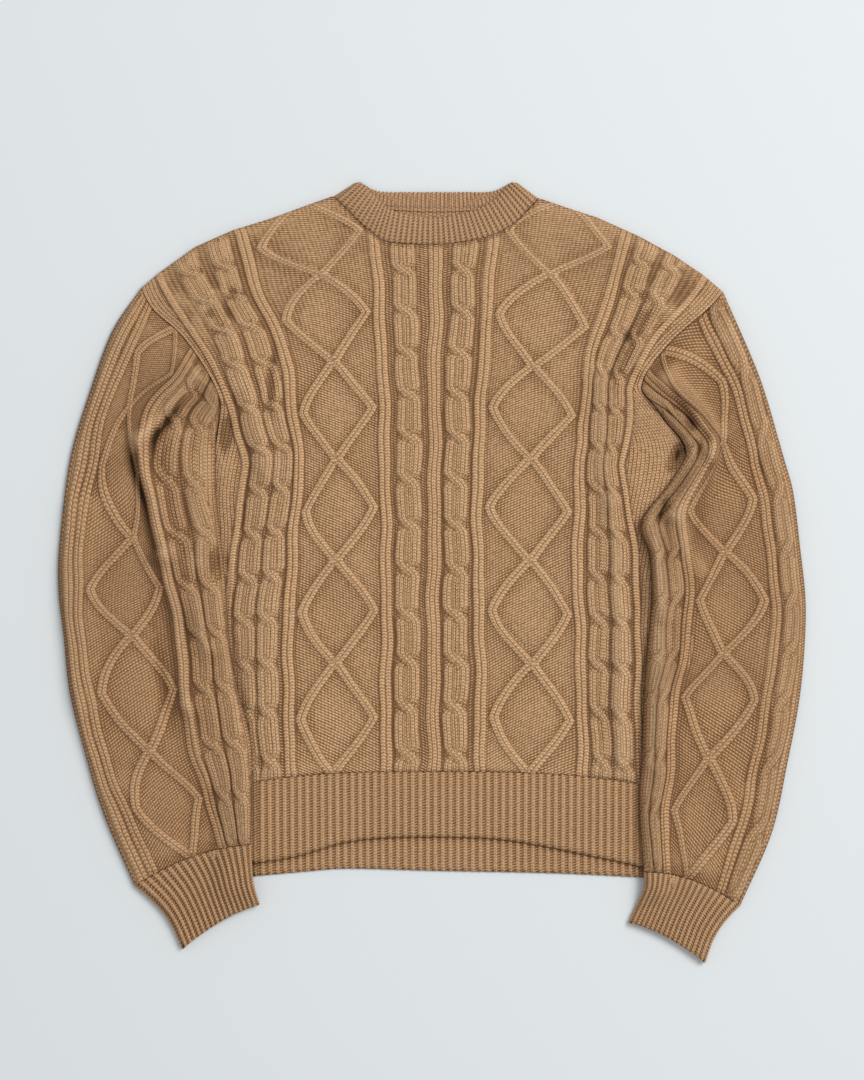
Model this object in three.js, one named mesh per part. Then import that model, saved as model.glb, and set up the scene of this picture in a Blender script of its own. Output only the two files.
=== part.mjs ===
import * as THREE from "three";

// A cable knit sweater laid flat on its back.
// X runs across it, Y toward the collar, Z up from the surface below. Lengths are millimetres.
// The tables are measured from the middle of the body, and the group is moved at the end.

const middle = { x: -0.59, y: 1 };

// Cloth
const wall = 2.5; // knitted cloth without its raised stitches
const layerGap = 0.3; // between cloth lying on cloth
const seamGap = 0.6; // between pieces that are sewn together
const insideGap = 2; // more than that on a tube's hidden faces
const cuffGap = 0.7; // down from a sleeve's slanting end to its cuff
const tubeSlit = 0.9; // least height of the hollow in a sleeve or cuff
const frontUnderside = wall + layerGap;
const frontFace = frontUnderside + wall;
const hemEdgeDrop = 0.9; // how much a free or folded edge rounds down

// Raised stitches
const ribRise = 1.6;
const cableRise = 2.8;
const diamondRise = 1.8;
const bandRibRise = 0.9; // single ribs of the hems, cuffs and neckband
const cableStrand = 0.45; // strand's distance from the cable's middle, in half widths
const cableRadius = 0.6;
const cableTurn = 0.22; // half the length of a crossing, in cable repeats

// Cables cross this often for each diamond, and one crossing lies at this place up the body
const bodyCrossings = 2.31;
const bodyCrossingAt = 4.92;
const sleeveCrossings = 2;

// Where a sleeve lies over the body's side
const overBody = frontFace + 1.1;
const rampWidth = 22;
const hemEnds = { from: -320, to: -295 }; // below this the cuffs lie on the surface again
const underarmEase = { from: 35, to: 8 }; // down from the underarm, where a sleeve comes off the body's side

const sleeveDiamonds = 5; // a sleeve's rows end at this place, on its armhole
const armholeFrom = 4.2; // from here up a sleeve's cross lines turn into the armhole's line
const crownFrom = 4.75; // from here up a sleeve flattens into the armhole's seam
const sleeveLoft = 2.2;
const tubeHeight = 2 * wall + tubeSlit;

function table(names, rows) {
  return rows.map((row) => Object.fromEntries(names.map((name, index) => [name, row[index]])));
}

// Body rows: "at" counts diamonds up from the hem, y is the height at the centre line,
// and bow is the exponent of the fall toward the sides
const bodyRows = table(["at", "y", "bow", "centre"], [
  [0, -189, 3, 1],
  [1, -85, 2.5, 1],
  [2, 14, 2.1, 1],
  [3, 112, 1.8, 2],
  [4, 205, 1.5, 2],
  [4.5, 251, 1.4, 3],
  [5, 296, 1.3, 3],
  [5.5, 334, 1.25, 3],
  [6.2, 388, 1.25, 3],
]);

// Lines up each half of the body, from the cable beside the middle to the side; drop is the fall at the edge
const lineNames = ["cable", "innerRib", "diamond", "outerRib", "sideCable", "edgeCable", "edgeRib", "edge"];
const halfNames = ["at", "drop", ...lineNames];
const leftHalf = table(halfNames, [
  [0, 14, -25, -44, -95, -134, -154, -173, -184, -190],
  [1, 8, -24, -44, -92, -137, -157, -179, -194, -210],
  [2, 13, -23, -44, -91, -134, -152, -174, -191, -213],
  [3, 19, -22, -45, -91, -127, -141, -162, -178, -211],
  [3.4, 18.5, -23, -46, -92.5, -131, -147, -170, -186, -204.3],
  [3.75, 18, -23.5, -47, -94, -135, -152, -177, -194, -202],
  [4, 16, -24, -48, -95, -138, -158, -185, -204, -213],
  [4.5, 26, -26, -51, -99, -152, -173, -200, -226, -238],
  [5, 44, -27, -53, -106, -168, -190, -218, -247, -267],
  [5.5, 52, -27, -56, -116, -176, -199, -233, -261, -280],
  [6.2, 60, -28, -59, -130, -193, -217, -250, -275, -292],
]);
const rightHalf = table(halfNames, [
  [0, 14, 22, 45, 91, 142, 161, 181, 197, 209],
  [1, 14, 22, 45, 95, 141, 159, 178, 194, 220],
  [2, 16, 22, 43, 93, 138, 158, 177, 193, 226],
  [3, 22, 23, 43, 93, 140, 157, 169, 180, 240],
  [3.2, 23, 23.5, 44, 93.5, 142, 158, 170, 182, 241],
  [3.4, 24, 24, 45, 94, 143, 159, 171, 184, 236],
  [3.6, 25, 24.3, 46, 94.3, 145, 159.6, 172, 186, 220.8],
  [3.75, 26, 24.5, 47, 94.5, 146, 160, 173, 187, 212],
  [4, 28, 25, 48, 95, 148, 161, 174, 188, 198],
  [4.5, 34, 28, 52, 103, 157, 176, 193, 209, 224],
  [5, 40, 30, 55, 110, 171, 191, 216, 245, 267],
  [5.5, 49, 32, 57, 120, 180, 202, 230, 262, 285],
  [6.2, 59, 34, 60, 131, 192, 215, 244, 273, 297],
]);
const underarmAt = 3.75;

const shoulderLeft = table(["at", "y"], [
  [-300, 250], [-275, 271], [-259, 284.5], [-225, 309], [-189, 325], [-150, 337], [-118, 349], [-95, 357],
]);
const shoulderRight = table(["at", "y"], [
  [102, 355], [122, 348], [156, 337], [196, 319], [229, 301], [256, 283], [282, 261], [300, 246],
]);

// Neckband: its seam and its free edge, from the left fold to the right one
const bandNames = ["at", "seamX", "seamY", "edgeX", "edgeY"];
const neckFront = table(bandNames, [
  [0, -95, 357, -71, 372],
  [0.075, -82, 346, -63, 365],
  [0.178, -66, 329, -51, 353],
  [0.286, -46, 315, -38, 344],
  [0.394, -22, 311.5, -18, 338.5],
  [0.509, 4, 311, 4, 337],
  [0.624, 30, 313.5, 25, 340],
  [0.743, 56, 320, 44, 346],
  [0.854, 78, 332, 61, 356.5],
  [0.938, 92, 345, 71, 367],
  [1, 102, 355, 78, 372],
]);
const neckBack = table(bandNames, [
  [0, -95, 357, -71, 372],
  [0.18, -60, 346.5, -52, 362],
  [0.34, -28, 343, -25, 361],
  [0.5, 4, 342, 4, 361],
  [0.66, 36, 343, 32, 361],
  [0.83, 70, 346.5, 58, 362],
  [1, 102, 355, 78, 372],
]);

// Lower edges of the hem ribs
const hemFrontEdge = table(["at", "y"], [
  [-189, -277], [-133, -269], [-84, -255], [-32, -250], [52, -251], [86, -255], [143, -266], [209, -280],
]);
const hemBackEdge = table(["at", "y"], [
  [-189, -289], [-123, -283], [-84, -280], [0, -282], [104, -284], [156, -286], [209, -289],
]);

// Sleeve rows: "at" counts diamonds up from the cuff; the lines' x places lie between the edges
const edgeNames = ["at", "outerX", "outerY", "innerX", "innerY", "bow"];
const sleeveNames = [...edgeNames, "outerRib", "diamond", "innerRib", "cable", "lastCable"];
const sleeveLeft = table(sleeveNames, [
  [0, -283, -297, -172, -257, 8, -264, -228, -198, -188, -179],
  [0.5, -312, -230, -171, -211, 4, -292, -248, -211, -196, -182],
  [1, -329, -175, -172, -160, 0, -311, -268, -228, -207, -188],
  [1.5, -344, -116, -185, -108, 0, -326, -276, -234, -214, -197],
  [2, -350, -62, -193, -57, 0, -333, -285, -239, -221, -205],
  [2.5, -355, -17, -196, -12, 0, -336, -287, -247, -230, -211],
  [3, -354, 28, -201, 39, 0, -334, -283, -258, -242, -216],
  [3.5, -344, 107, -205, 80, 0, -323, -292, -271, -252, -226],
  [4, -326, 169, -205, 133, 0, -308, -286, -268, -246, -224],
  [4.5, -304, 228, -203.4, 152, 0, -285, -260, -243, -227, -213],
  [5, -275, 271, -201, 161, 0, -265, -246, -230, -218, -208],
]);
const sleeveRight = table(sleeveNames, [
  [0, 292, -316, 200, -283, 8, 273, 241, 221, 213, 206],
  [0.5, 322, -247, 196, -222, 4, 293, 251, 219, 210, 202],
  [1, 337, -180, 198, -173, 0, 306, 262, 225, 214, 206],
  [1.5, 348, -122, 200, -117, 0, 316, 267, 228, 217, 208],
  [2, 353, -72, 202, -81, 0, 323, 276, 237, 226, 213],
  [2.5, 354, -26, 207, -26, 0, 324, 280, 242, 230, 218],
  [3, 349, 23, 205, 16, 0, 320, 278, 238, 226, 215],
  [3.5, 342, 78, 198, 50, 0, 312, 268, 235, 221, 209],
  [3.75, 334, 107, 224, 84, 0, 306, 267, 250, 241, 232],
  [4, 326, 135, 240, 114, 0, 300, 274, 263, 256, 248],
  [4.25, 317, 166, 230, 132, 0, 293, 265, 252, 244, 236],
  [4.5, 306, 197, 220, 147, 0, 285, 255, 241, 233, 226],
  [5, 275, 268, 212, 156, 0, 262, 240, 228, 221, 216],
]);

// Cuff rows, from the sleeve down to the free end
const cuffLeft = table(edgeNames, [
  [0, -238, -357, -164, -314, 5],
  [0.33, -249, -333, -169, -296, 6],
  [0.66, -262, -316, -171, -276, 7],
  [1, -283, -297, -172, -257, 8],
]);
const cuffRight = table(edgeNames, [
  [0, 259, -370, 186, -331, 5],
  [0.33, 267, -348, 194, -314, 6],
  [0.66, 278, -331, 200, -298, 7],
  [1, 292, -316, 200, -283, 8],
]);

// Folds: a soft ridge or, with a rise under zero, a trough along three points
const foldNames = ["x1", "y1", "x2", "y2", "x3", "y3", "rise", "width"];
const bodyFolds = table(foldNames, [
  [-192, 226, -176, 170, -160, 100, 4, 15],
  [-160, 100, -160, 0, -162, -120, 2.5, 15],
  [170, 69, 178, -40, 180, -178, 4, 9],
  [158, 190, 160, 130, 168, 69, 3, 11],
  [210, 262, 230, 245, 250, 250, 2.5, 12],
  [-240, 258, -222, 250, -205, 262, 2.5, 12],
]);
const sleeveLeftFolds = table(foldNames, [
  [-212, 200, -246, 162, -279, 122, 9, 11],
  [-279, 122, -266, 64, -253, 10, 7, 9],
  [-253, 10, -244, -60, -233, -125, 3, 11],
  [-284, 214, -300, 170, -308, 120, 3, 14],
  [-233, 120, -224, 60, -222, 0, 3, 13],
  [-230, -16, -224, -40, -214, -70, 4, 10],
  [-326, 60, -334, -20, -330, -120, 3, 18],
  [-292, -200, -270, -240, -240, -270, 2.5, 16],
]);
const sleeveRightFolds = table(foldNames, [
  [204, 199, 243, 163, 266, 133, 9, 10],
  [264, 117, 245, 80, 229, 52, 7, 9],
  [229, 52, 238, 20, 250, 0, 4, 10],
  [210, 40, 208, 10, 218, -40, 4, 9],
  [216, -60, 212, -120, 206, -180, 3, 10],
  [262, 250, 290, 190, 306, 120, 3, 14],
  [325, 60, 330, -20, 322, -120, 3, 18],
  [296, -210, 276, -250, 250, -290, 2.5, 16],
]);

const bodyBands = [
  { line: "edge", kind: "edge", half: 0 },
  { line: "edgeRib", kind: "rib", half: 4 },
  { line: "edgeCable", kind: "cable", half: 10 },
  { line: "sideCable", kind: "cable", half: 10 },
  { line: "outerRib", kind: "rib", half: 6 },
  { line: "diamond", kind: "diamond", half: 0 },
  { line: "innerRib", kind: "rib", half: 6 },
  { line: "cable", kind: "cable", half: 11 },
];
const centreBand = { line: "centre", kind: "wideRib", half: 7 };
const sleeveBands = [
  { line: "edge", kind: "edge", half: 0 },
  { line: "outerCable", kind: "cable", half: 8 },
  { line: "outerRib", kind: "rib", half: 5 },
  { line: "diamond", kind: "diamond", half: 0 },
  { line: "innerRib", kind: "rib", half: 6 },
  { line: "cable", kind: "cable", half: 10 },
  { line: "lastCable", kind: "cable", half: 9 },
  { line: "edge", kind: "edge", half: 0 },
];

function clamp(value, low, high) {
  return Math.min(Math.max(value, low), high);
}

function mix(from, to, share) {
  return from + (to - from) * share;
}

function ease(from, to, value) {
  const share = clamp((value - from) / (to - from), 0, 1);
  return share * share * (3 - 2 * share);
}

// A column's value at a place between rows, on a smooth curve through them
function along(rows, column, at) {
  const last = rows.length - 1;
  let k = 0;
  while (k < last - 1 && at > rows[k + 1].at) k += 1;
  const span = rows[k + 1].at - rows[k].at;
  const share = clamp((at - rows[k].at) / span, 0, 1);
  const slope = (index) => {
    const before = rows[Math.max(index - 1, 0)];
    const after = rows[Math.min(index + 1, last)];
    return (after[column] - before[column]) / (after.at - before.at);
  };
  const square = share * share;
  const cube = square * share;
  return (2 * cube - 3 * square + 1) * rows[k][column] + (cube - 2 * square + share) * span * slope(k)
    + (3 * square - 2 * cube) * rows[k + 1][column] + (cube - square) * span * slope(k + 1);
}

// Straight between rows, for outlines with corners
function straight(rows, at) {
  let k = 0;
  while (k < rows.length - 2 && at > rows[k + 1].at) k += 1;
  return mix(rows[k].y, rows[k + 1].y, (at - rows[k].at) / (rows[k + 1].at - rows[k].at));
}

// Where a rising or falling function of one number crosses zero between two places, or the nearer one
function crossing(height, low, high) {
  const rising = height(high) > height(low);
  for (let step = 0; step < 40; step += 1) {
    const half = (low + high) / 2;
    if (height(half) < 0 === rising) low = half;
    else high = half;
  }
  return (low + high) / 2;
}

function foldHeight(folds, x, y) {
  let height = 0;
  for (const fold of folds) {
    const points = [[fold.x1, fold.y1], [fold.x2, fold.y2], [fold.x3, fold.y3]];
    let nearest = Infinity;
    for (let k = 0; k < 2; k += 1) {
      const [fromX, fromY] = points[k];
      const [toX, toY] = points[k + 1];
      const length2 = (toX - fromX) ** 2 + (toY - fromY) ** 2;
      const share = clamp(((x - fromX) * (toX - fromX) + (y - fromY) * (toY - fromY)) / length2, 0, 1);
      nearest = Math.min(nearest, Math.hypot(x - mix(fromX, toX, share), y - mix(fromY, toY, share)));
    }
    height += fold.rise * Math.exp(-((nearest / fold.width) ** 2));
  }
  return height;
}

// Raised stitches across a row: each band gives its place, its two half widths and, in a diamond, its ridges
function layBands(bands, places, at) {
  const last = bands.length - 1;
  const laid = bands.map((band, k) => {
    const before = k > 0 ? places[k] - places[k - 1] : Infinity;
    const after = k < last ? places[k + 1] - places[k] : Infinity;
    return {
      kind: band.kind,
      place: places[k],
      left: Math.min(band.half, 0.45 * before),
      right: Math.min(band.half, 0.45 * after),
    };
  });
  const opening = 2 * Math.abs(at - Math.round(at)); // 0 where the ridges cross, 1 at the side corners
  laid.forEach((band, k) => {
    if (band.kind !== "diamond") return;
    const ridges = (room) => ({ offset: room * mix(0.12, 0.85, opening), half: Math.min(4.5, 0.12 * room) });
    band.leftRoom = band.place - laid[k - 1].place - laid[k - 1].right;
    band.rightRoom = laid[k + 1].place - laid[k + 1].left - band.place;
    band.leftRidge = ridges(band.leftRoom);
    band.rightRidge = ridges(band.rightRoom);
  });
  return laid;
}

// The places across a row where the raised stitches need a point
function ridgePlaces(laid) {
  const places = [];
  laid.forEach((band, k) => {
    if (k > 0) {
      const before = laid[k - 1];
      const from = before.place + (before.kind === "diamond" ? before.rightRoom : before.right);
      const to = band.place - (band.kind === "diamond" ? band.leftRoom : band.left);
      places.push((from + to) / 2);
    }
    if (band.kind === "edge" || band.kind === "rib") places.push(band.place);
    if (band.kind === "wideRib") places.push(band.place - band.left / 2, band.place + band.right / 2);
    if (band.kind === "cable") {
      places.push(band.place - band.left * cableStrand, band.place, band.place + band.right * cableStrand);
    }
    if (band.kind === "diamond") {
      const { leftRidge: left, rightRidge: right } = band;
      const offsets = [
        -(left.offset + left.half + band.leftRoom) / 2,
        -left.offset - left.half,
        -left.offset,
        -left.offset + left.half,
        0,
        right.offset - right.half,
        right.offset,
        right.offset + right.half,
        (right.offset + right.half + band.rightRoom) / 2,
      ];
      places.push(...offsets.map((offset) => band.place + offset));
    }
  });
  return places;
}

function flatTop(offset) {
  return 1 - ease(0.45, 1, Math.abs(offset));
}

function strand(offset) {
  return Math.sqrt(Math.max(0, 1 - offset * offset));
}

// Two strands lie side by side and swap places at each crossing, the one from the lower right over the other
function cableHeight(offset, turns) {
  const phase = turns - Math.round(turns);
  const over = cableStrand * (1 - 2 * ease(-cableTurn, cableTurn, phase));
  const dip = 0.4 * Math.max(0, 1 - Math.abs(phase) / cableTurn);
  return Math.max(strand((offset - over) / cableRadius), (1 - dip) * strand((offset + over) / cableRadius));
}

function stitchHeight(laid, place, turns) {
  let height = 0;
  for (const band of laid) {
    const offset = place - band.place;
    const half = offset < 0 ? band.left : band.right;
    if (half > 0 && band.kind.endsWith("ib")) height = Math.max(height, ribRise * flatTop(offset / half));
    if (half > 0 && band.kind === "cable") {
      height = Math.max(height, cableRise * cableHeight(offset / half, turns));
    }
    if (band.kind === "diamond") {
      for (const [ridge, side] of [[band.leftRidge, -1], [band.rightRidge, 1]]) {
        height = Math.max(height, diamondRise * flatTop((offset - side * ridge.offset) / ridge.half));
      }
    }
  }
  return height;
}

// The body's rows and lines
function bodyPlaces(at) {
  const left = bodyBands.map((band) => along(leftHalf, band.line, at));
  const right = bodyBands.map((band) => along(rightHalf, band.line, at)).reverse();
  return [...left, along(bodyRows, "centre", at), ...right];
}

const allBodyBands = [...bodyBands, centreBand, ...[...bodyBands].reverse()];

function bodyY(x, at) {
  const half = x < 0 ? leftHalf : rightHalf;
  const share = Math.abs(x / along(half, "edge", at));
  return along(bodyRows, "y", at) - along(half, "drop", at) * share ** along(bodyRows, "bow", at);
}

function sideY(half, at) {
  return bodyY(along(half, "edge", at), at);
}

// The body's side edge at a height, or at the nearer end of the side
function bodyEdgeX(half, y) {
  const at = crossing((place) => y - sideY(half, place), 0, underarmAt);
  return along(half, "edge", at);
}

// The panel's upper outline: shoulder, neck seam, shoulder
function panelTop(neck, x) {
  if (x <= neck[0].seamX) return straight(shoulderLeft, x);
  if (x >= neck[neck.length - 1].seamX) return straight(shoulderRight, x);
  return along(neck, "seamY", crossing((at) => x - along(neck, "seamX", at), 0, 1));
}

function sleeveInnerX(sleeve, y) {
  const at = crossing((place) => y - along(sleeve, "innerY", place), 0, sleeveDiamonds);
  return along(sleeve, "innerX", at);
}

// 1 on the body in view, 0 under a sleeve
function inView(x, y) {
  const sleeve = x < 0 ? sleeveLeft : sleeveRight;
  if (y > sleeve[sleeve.length - 1].innerY) return 1;
  const inner = sleeveInnerX(sleeve, y);
  return ease(-1, 9, Math.abs(inner) - Math.abs(x));
}

// Height of a sleeve's or cuff's underside: on the floor outside the body, over its side where it covers it
function underSleeve(half, x, y) {
  const side = half === leftHalf ? -1 : 1;
  const underarm = sideY(half, underarmAt);
  const depth = side * (bodyEdgeX(half, y) - x);
  const beside = ease(-rampWidth, -2, depth);
  const comesOff = 1 - ease(underarm - underarmEase.from, underarm - underarmEase.to, y);
  return overBody * beside * ease(hemEnds.from, hemEnds.to, y) * comesOff;
}

// A closed wall: a fine outer face, a plain inner face under some of its points, and rims between the two.
// Both are rows of points; a closed wall's rows run round a tube.
function clothWall(outer, inner, innerRows, innerColumns, closed) {
  const points = [];
  const faces = [];
  const addRows = (rows) => rows.map((row) => row.map((point) => points.push(point) - 1));
  const addFaces = (rows, flipped) => {
    const columns = rows[0].length;
    for (let r = 0; r < rows.length - 1; r += 1) {
      for (let c = 0; c < (closed ? columns : columns - 1); c += 1) {
        const next = (c + 1) % columns;
        const corners = [rows[r][c], rows[r][next], rows[r + 1][next], rows[r + 1][c]];
        const [a, b, d, e] = flipped ? corners.reverse() : corners;
        const acrossFirst = Math.abs(points[a][2] - points[d][2]);
        const acrossSecond = Math.abs(points[b][2] - points[e][2]);
        if (acrossFirst <= acrossSecond) faces.push([a, b, d], [a, d, e]);
        else faces.push([a, b, e], [b, d, e]);
      }
    }
  };
  const outerIds = addRows(outer);
  const innerIds = addRows(inner);
  addFaces(outerIds, false);
  addFaces(innerIds, true);

  const addRim = (outside, inside) => {
    let i = 0;
    let j = 0;
    while (i < outside.length - 1 || j < inside.length - 1) {
      const nextOut = i < outside.length - 1 ? outside[i + 1].at : Infinity;
      const nextIn = j < inside.length - 1 ? inside[j + 1].at : Infinity;
      if (nextOut <= nextIn) {
        faces.push([outside[i + 1].id, outside[i].id, inside[j].id]);
        i += 1;
      } else {
        faces.push([inside[j].id, inside[j + 1].id, outside[i].id]);
        j += 1;
      }
    }
  };
  const lastRow = outer.length - 1;
  const lastColumn = outer[0].length - 1;
  const rowChain = (ids, row, columns) => {
    const chain = columns.map((column, k) => ({ id: ids[row][k], at: column }));
    if (closed) chain.push({ id: ids[row][0], at: lastColumn + 1 });
    return chain;
  };
  const columnChain = (ids, column, rows) => rows.map((row, k) => ({ id: ids[k][column], at: row }));
  const backward = (chain) => chain.reverse().map(({ id, at }) => ({ id, at: -at }));
  const allRows = outer.map((row, r) => r);
  const allColumns = outer[0].map((point, c) => c);
  const lastInner = innerRows.length - 1;
  addRim(rowChain(outerIds, 0, allColumns), rowChain(innerIds, 0, innerColumns));
  addRim(
    backward(rowChain(outerIds, lastRow, allColumns)),
    backward(rowChain(innerIds, lastInner, innerColumns)),
  );
  if (!closed) {
    addRim(
      columnChain(outerIds, lastColumn, allRows),
      columnChain(innerIds, innerColumns.length - 1, innerRows),
    );
    addRim(backward(columnChain(outerIds, 0, allRows)), backward(columnChain(innerIds, 0, innerRows)));
  }

  let volume = 0;
  for (const [a, b, c] of faces) {
    const [p, q, r] = [a, b, c].map((id) => new THREE.Vector3(...points[id]));
    volume += p.dot(q.cross(r));
  }
  const geometry = new THREE.BufferGeometry();
  geometry.setAttribute("position", new THREE.Float32BufferAttribute(points.flat(), 3));
  geometry.setIndex(faces.flatMap((face) => (volume < 0 ? [face[0], face[2], face[1]] : face)));
  geometry.computeVertexNormals();
  return geometry;
}

function piece(name, geometry, colour) {
  const wool = new THREE.MeshStandardMaterial({ color: colour, roughness: 0.92, metalness: 0 });
  const mesh = new THREE.Mesh(geometry, wool);
  mesh.name = name;
  return mesh;
}

// Every nth index up to the last, with both ends
function everyOther(count, step) {
  const picked = [];
  for (let index = 0; index < count - 1; index += step) picked.push(index);
  picked.push(count - 1);
  return picked;
}

function lowestAround(grid, r, c, rowReach, columnReach) {
  let lowest = Infinity;
  for (let i = Math.max(0, r - rowReach); i <= Math.min(grid.length - 1, r + rowReach); i += 1) {
    for (let j = Math.max(0, c - columnReach); j <= Math.min(grid[0].length - 1, c + columnReach); j += 1) {
      lowest = Math.min(lowest, grid[i][j]);
    }
  }
  return lowest;
}

// Rows up the body: three for each cable repeat, and evenly up to the outline above the blend
const rowStep = 1 / (3 * bodyCrossings);
const firstRow = bodyCrossingAt - Math.floor(bodyCrossingAt / rowStep) * rowStep;
const blendAt = 4.34;
const commonRows = [0];
for (let at = firstRow + rowStep; at < blendAt; at += rowStep) commonRows.push(at);
const upperRows = 10;

// One panel's rows of plan points, each with its place up the body
function panelPlan(neck, columnsAt) {
  const columnCount = columnsAt(0).length;
  const blendFrom = commonRows[commonRows.length - 1];
  const tops = [];
  for (let c = 0; c < columnCount; c += 1) {
    tops.push(crossing((at) => {
      const x = columnsAt(at)[c];
      return panelTop(neck, x) - bodyY(x, at);
    }, blendFrom, 6.2));
  }
  const rowPlaces = (r) => tops.map((top) => (
    r < commonRows.length ? commonRows[r] : mix(blendFrom, top, (r - commonRows.length + 1) / upperRows)));
  const plan = [];
  for (let r = 0; r < commonRows.length + upperRows; r += 1) {
    plan.push(rowPlaces(r).map((at, c) => {
      const x = columnsAt(at)[c];
      return { x, y: bodyY(x, at), at };
    }));
  }
  const topRow = plan[plan.length - 1];
  for (const corner of [neck[0], neck[neck.length - 1]]) {
    const nearest = topRow.reduce((best, point) => (
      Math.abs(point.x - corner.seamX) < Math.abs(best.x - corner.seamX) ? point : best));
    nearest.x = corner.seamX;
    nearest.y = corner.seamY;
  }
  return plan;
}

// Above the last side corners the columns stop following the diamonds' ridges, so that they never cross
const lastCorners = 5.5;
function frontColumns(at) {
  return ridgePlaces(layBands(allBodyBands, bodyPlaces(at), Math.min(at, lastCorners)));
}

const frontPlan = panelPlan(neckFront, frontColumns);
const frontRows = frontPlan.length;
const lastFrontColumn = frontPlan[0].length - 1;
const underarmRow = commonRows.findIndex((at) => at >= underarmAt);

function onNeck(neck, point) {
  return point.x >= neck[0].seamX - 0.01 && point.x <= neck[neck.length - 1].seamX + 0.01;
}

// First and last column that end on the neck seam
const neckColumns = [
  frontPlan[frontRows - 1].findIndex((point) => onNeck(neckFront, point)),
  frontPlan[frontRows - 1].findLastIndex((point) => onNeck(neckFront, point)),
];

function makeFront() {
  const base = frontPlan.map((row, r) => row.map((point, c) => {
    const side = c === 0 || c === lastFrontColumn;
    const folded = (side && r <= underarmRow) || (r === frontRows - 1 && !onNeck(neckFront, point));
    const folds = Math.max(0, foldHeight(bodyFolds, point.x, point.y)) * inView(point.x, point.y);
    const nearSeam = Math.min(ease(0, 0.2, point.at), ease(frontRows - 1, frontRows - 3, r));
    return frontFace + folds * nearSeam - (folded ? hemEdgeDrop : 0);
  }));
  const outer = frontPlan.map((row, r) => row.map((point, c) => {
    const free = r > 0 && r < frontRows - 1 && c > 0 && c < lastFrontColumn;
    const laid = layBands(allBodyBands, bodyPlaces(point.at), point.at);
    const turns = (point.at - bodyCrossingAt) * bodyCrossings;
    const raised = free ? stitchHeight(laid, point.x, turns) * inView(point.x, point.y) : 0;
    return [point.x, point.y, base[r][c] + raised];
  }));
  const rows = [...everyOther(underarmRow + 1, 6), ...frontPlan.map((row, r) => r).slice(underarmRow + 1)];
  const columns = frontPlan[0].map((point, c) => c).filter((c) => (
    c < lastFrontColumn - 1 && (c % 4 === 0 || (c > neckColumns[0] && c < neckColumns[1]))));
  columns.push(lastFrontColumn);
  const inner = rows.map((r) => columns.map((c) => {
    const lowest = lowestAround(base, r, c, 6, 4) - wall;
    return [frontPlan[r][c].x, frontPlan[r][c].y, Math.max(frontUnderside, lowest)];
  }));
  return clothWall(outer, inner, rows, columns, false);
}

// The back is plain and flat under the front, with every row of the front's at the armholes
function makeBack() {
  const columnsAt = (at) => {
    const places = bodyPlaces(at);
    const middles = places.slice(1).map((place, k) => (place + places[k]) / 2);
    return places.flatMap((place, k) => (k > 4 && k < 11 && k !== 8 ? [place, middles[k]] : [place]));
  };
  const plan = panelPlan(neckBack, columnsAt);
  const rows = [...everyOther(underarmRow + 1, 8), ...plan.map((row, r) => r).slice(underarmRow + 1)];
  const lastColumn = plan[0].length - 1;
  const side = (c) => c === 0 || c === lastColumn;
  const outer = rows.map((r) => plan[r].map((point) => [point.x, point.y, 0]));
  const columns = plan[0].map((point, c) => c);
  const innerRows = rows.map((row, k) => k);
  const inner = innerRows.map((k) => columns.map((c) => {
    const point = plan[rows[k]][c];
    const thin = side(c) && rows[k] <= underarmRow ? hemEdgeDrop : 0;
    return [point.x, point.y, wall - thin];
  }));
  return { plan, geometry: clothWall(outer, inner, innerRows, columns, false) };
}

// Each point's share of a polyline's length
function lineShares(points) {
  const lengths = [0];
  points.slice(1).forEach((point, k) => {
    lengths.push(lengths[k] + Math.hypot(point.x - points[k].x, point.y - points[k].y));
  });
  return lengths.map((length) => length / lengths[lengths.length - 1]);
}

// A polyline's point and direction at a share of its length
function lineWalker(points) {
  const shares = lineShares(points);
  return (share) => {
    let k = 0;
    while (k < points.length - 2 && share > shares[k + 1]) k += 1;
    const part = clamp((share - shares[k]) / (shares[k + 1] - shares[k]), 0, 1);
    const [from, to] = [points[k], points[k + 1]];
    const length = Math.hypot(to.x - from.x, to.y - from.y);
    return {
      x: mix(from.x, to.x, part),
      y: mix(from.y, to.y, part),
      alongX: (to.x - from.x) / length,
      alongY: (to.y - from.y) / length,
    };
  };
}

const back = makeBack();

// A hem rib hangs from the panel's first row; its single ribs run straight down
const hemRibs = 56;
function makeHem(panelPlanRows, lowerEdge, underside, ribs) {
  const hemLine = lineWalker(panelPlanRows[0]);
  const count = 2 * hemRibs;
  const shares = [0, 0.1, 1];
  const leftEnd = along(leftHalf, "edge", 0);
  const rightEnd = along(rightHalf, "edge", 0);
  const plan = shares.map((down) => Array.from({ length: count + 1 }, (unused, c) => {
    const top = hemLine(c / count);
    const lowX = mix(leftEnd, rightEnd, c / count);
    const lowY = along(lowerEdge, "y", lowX);
    const fromSeam = Math.max(down, seamGap / (top.y - lowY));
    return { x: mix(top.x, lowX, fromSeam), y: mix(top.y, lowY, fromSeam) };
  }));
  const lastRow = shares.length - 1;
  const outer = plan.map((row, r) => row.map((point, c) => {
    const round = c === 0 || c === count ? hemEdgeDrop : 0;
    const ribbed = r > 0 && c > 0 && c < count;
    const raised = ribbed ? ribs(c % 2 === 1) * inView(point.x, point.y) : 0;
    return [point.x, point.y, underside + wall - round + raised];
  }));
  const columns = everyOther(count + 1, 7);
  const inner = [0, lastRow].map((r) => columns.map((c) => [plan[r][c].x, plan[r][c].y, underside]));
  return clothWall(outer, inner, [0, lastRow], columns, false);
}

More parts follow.
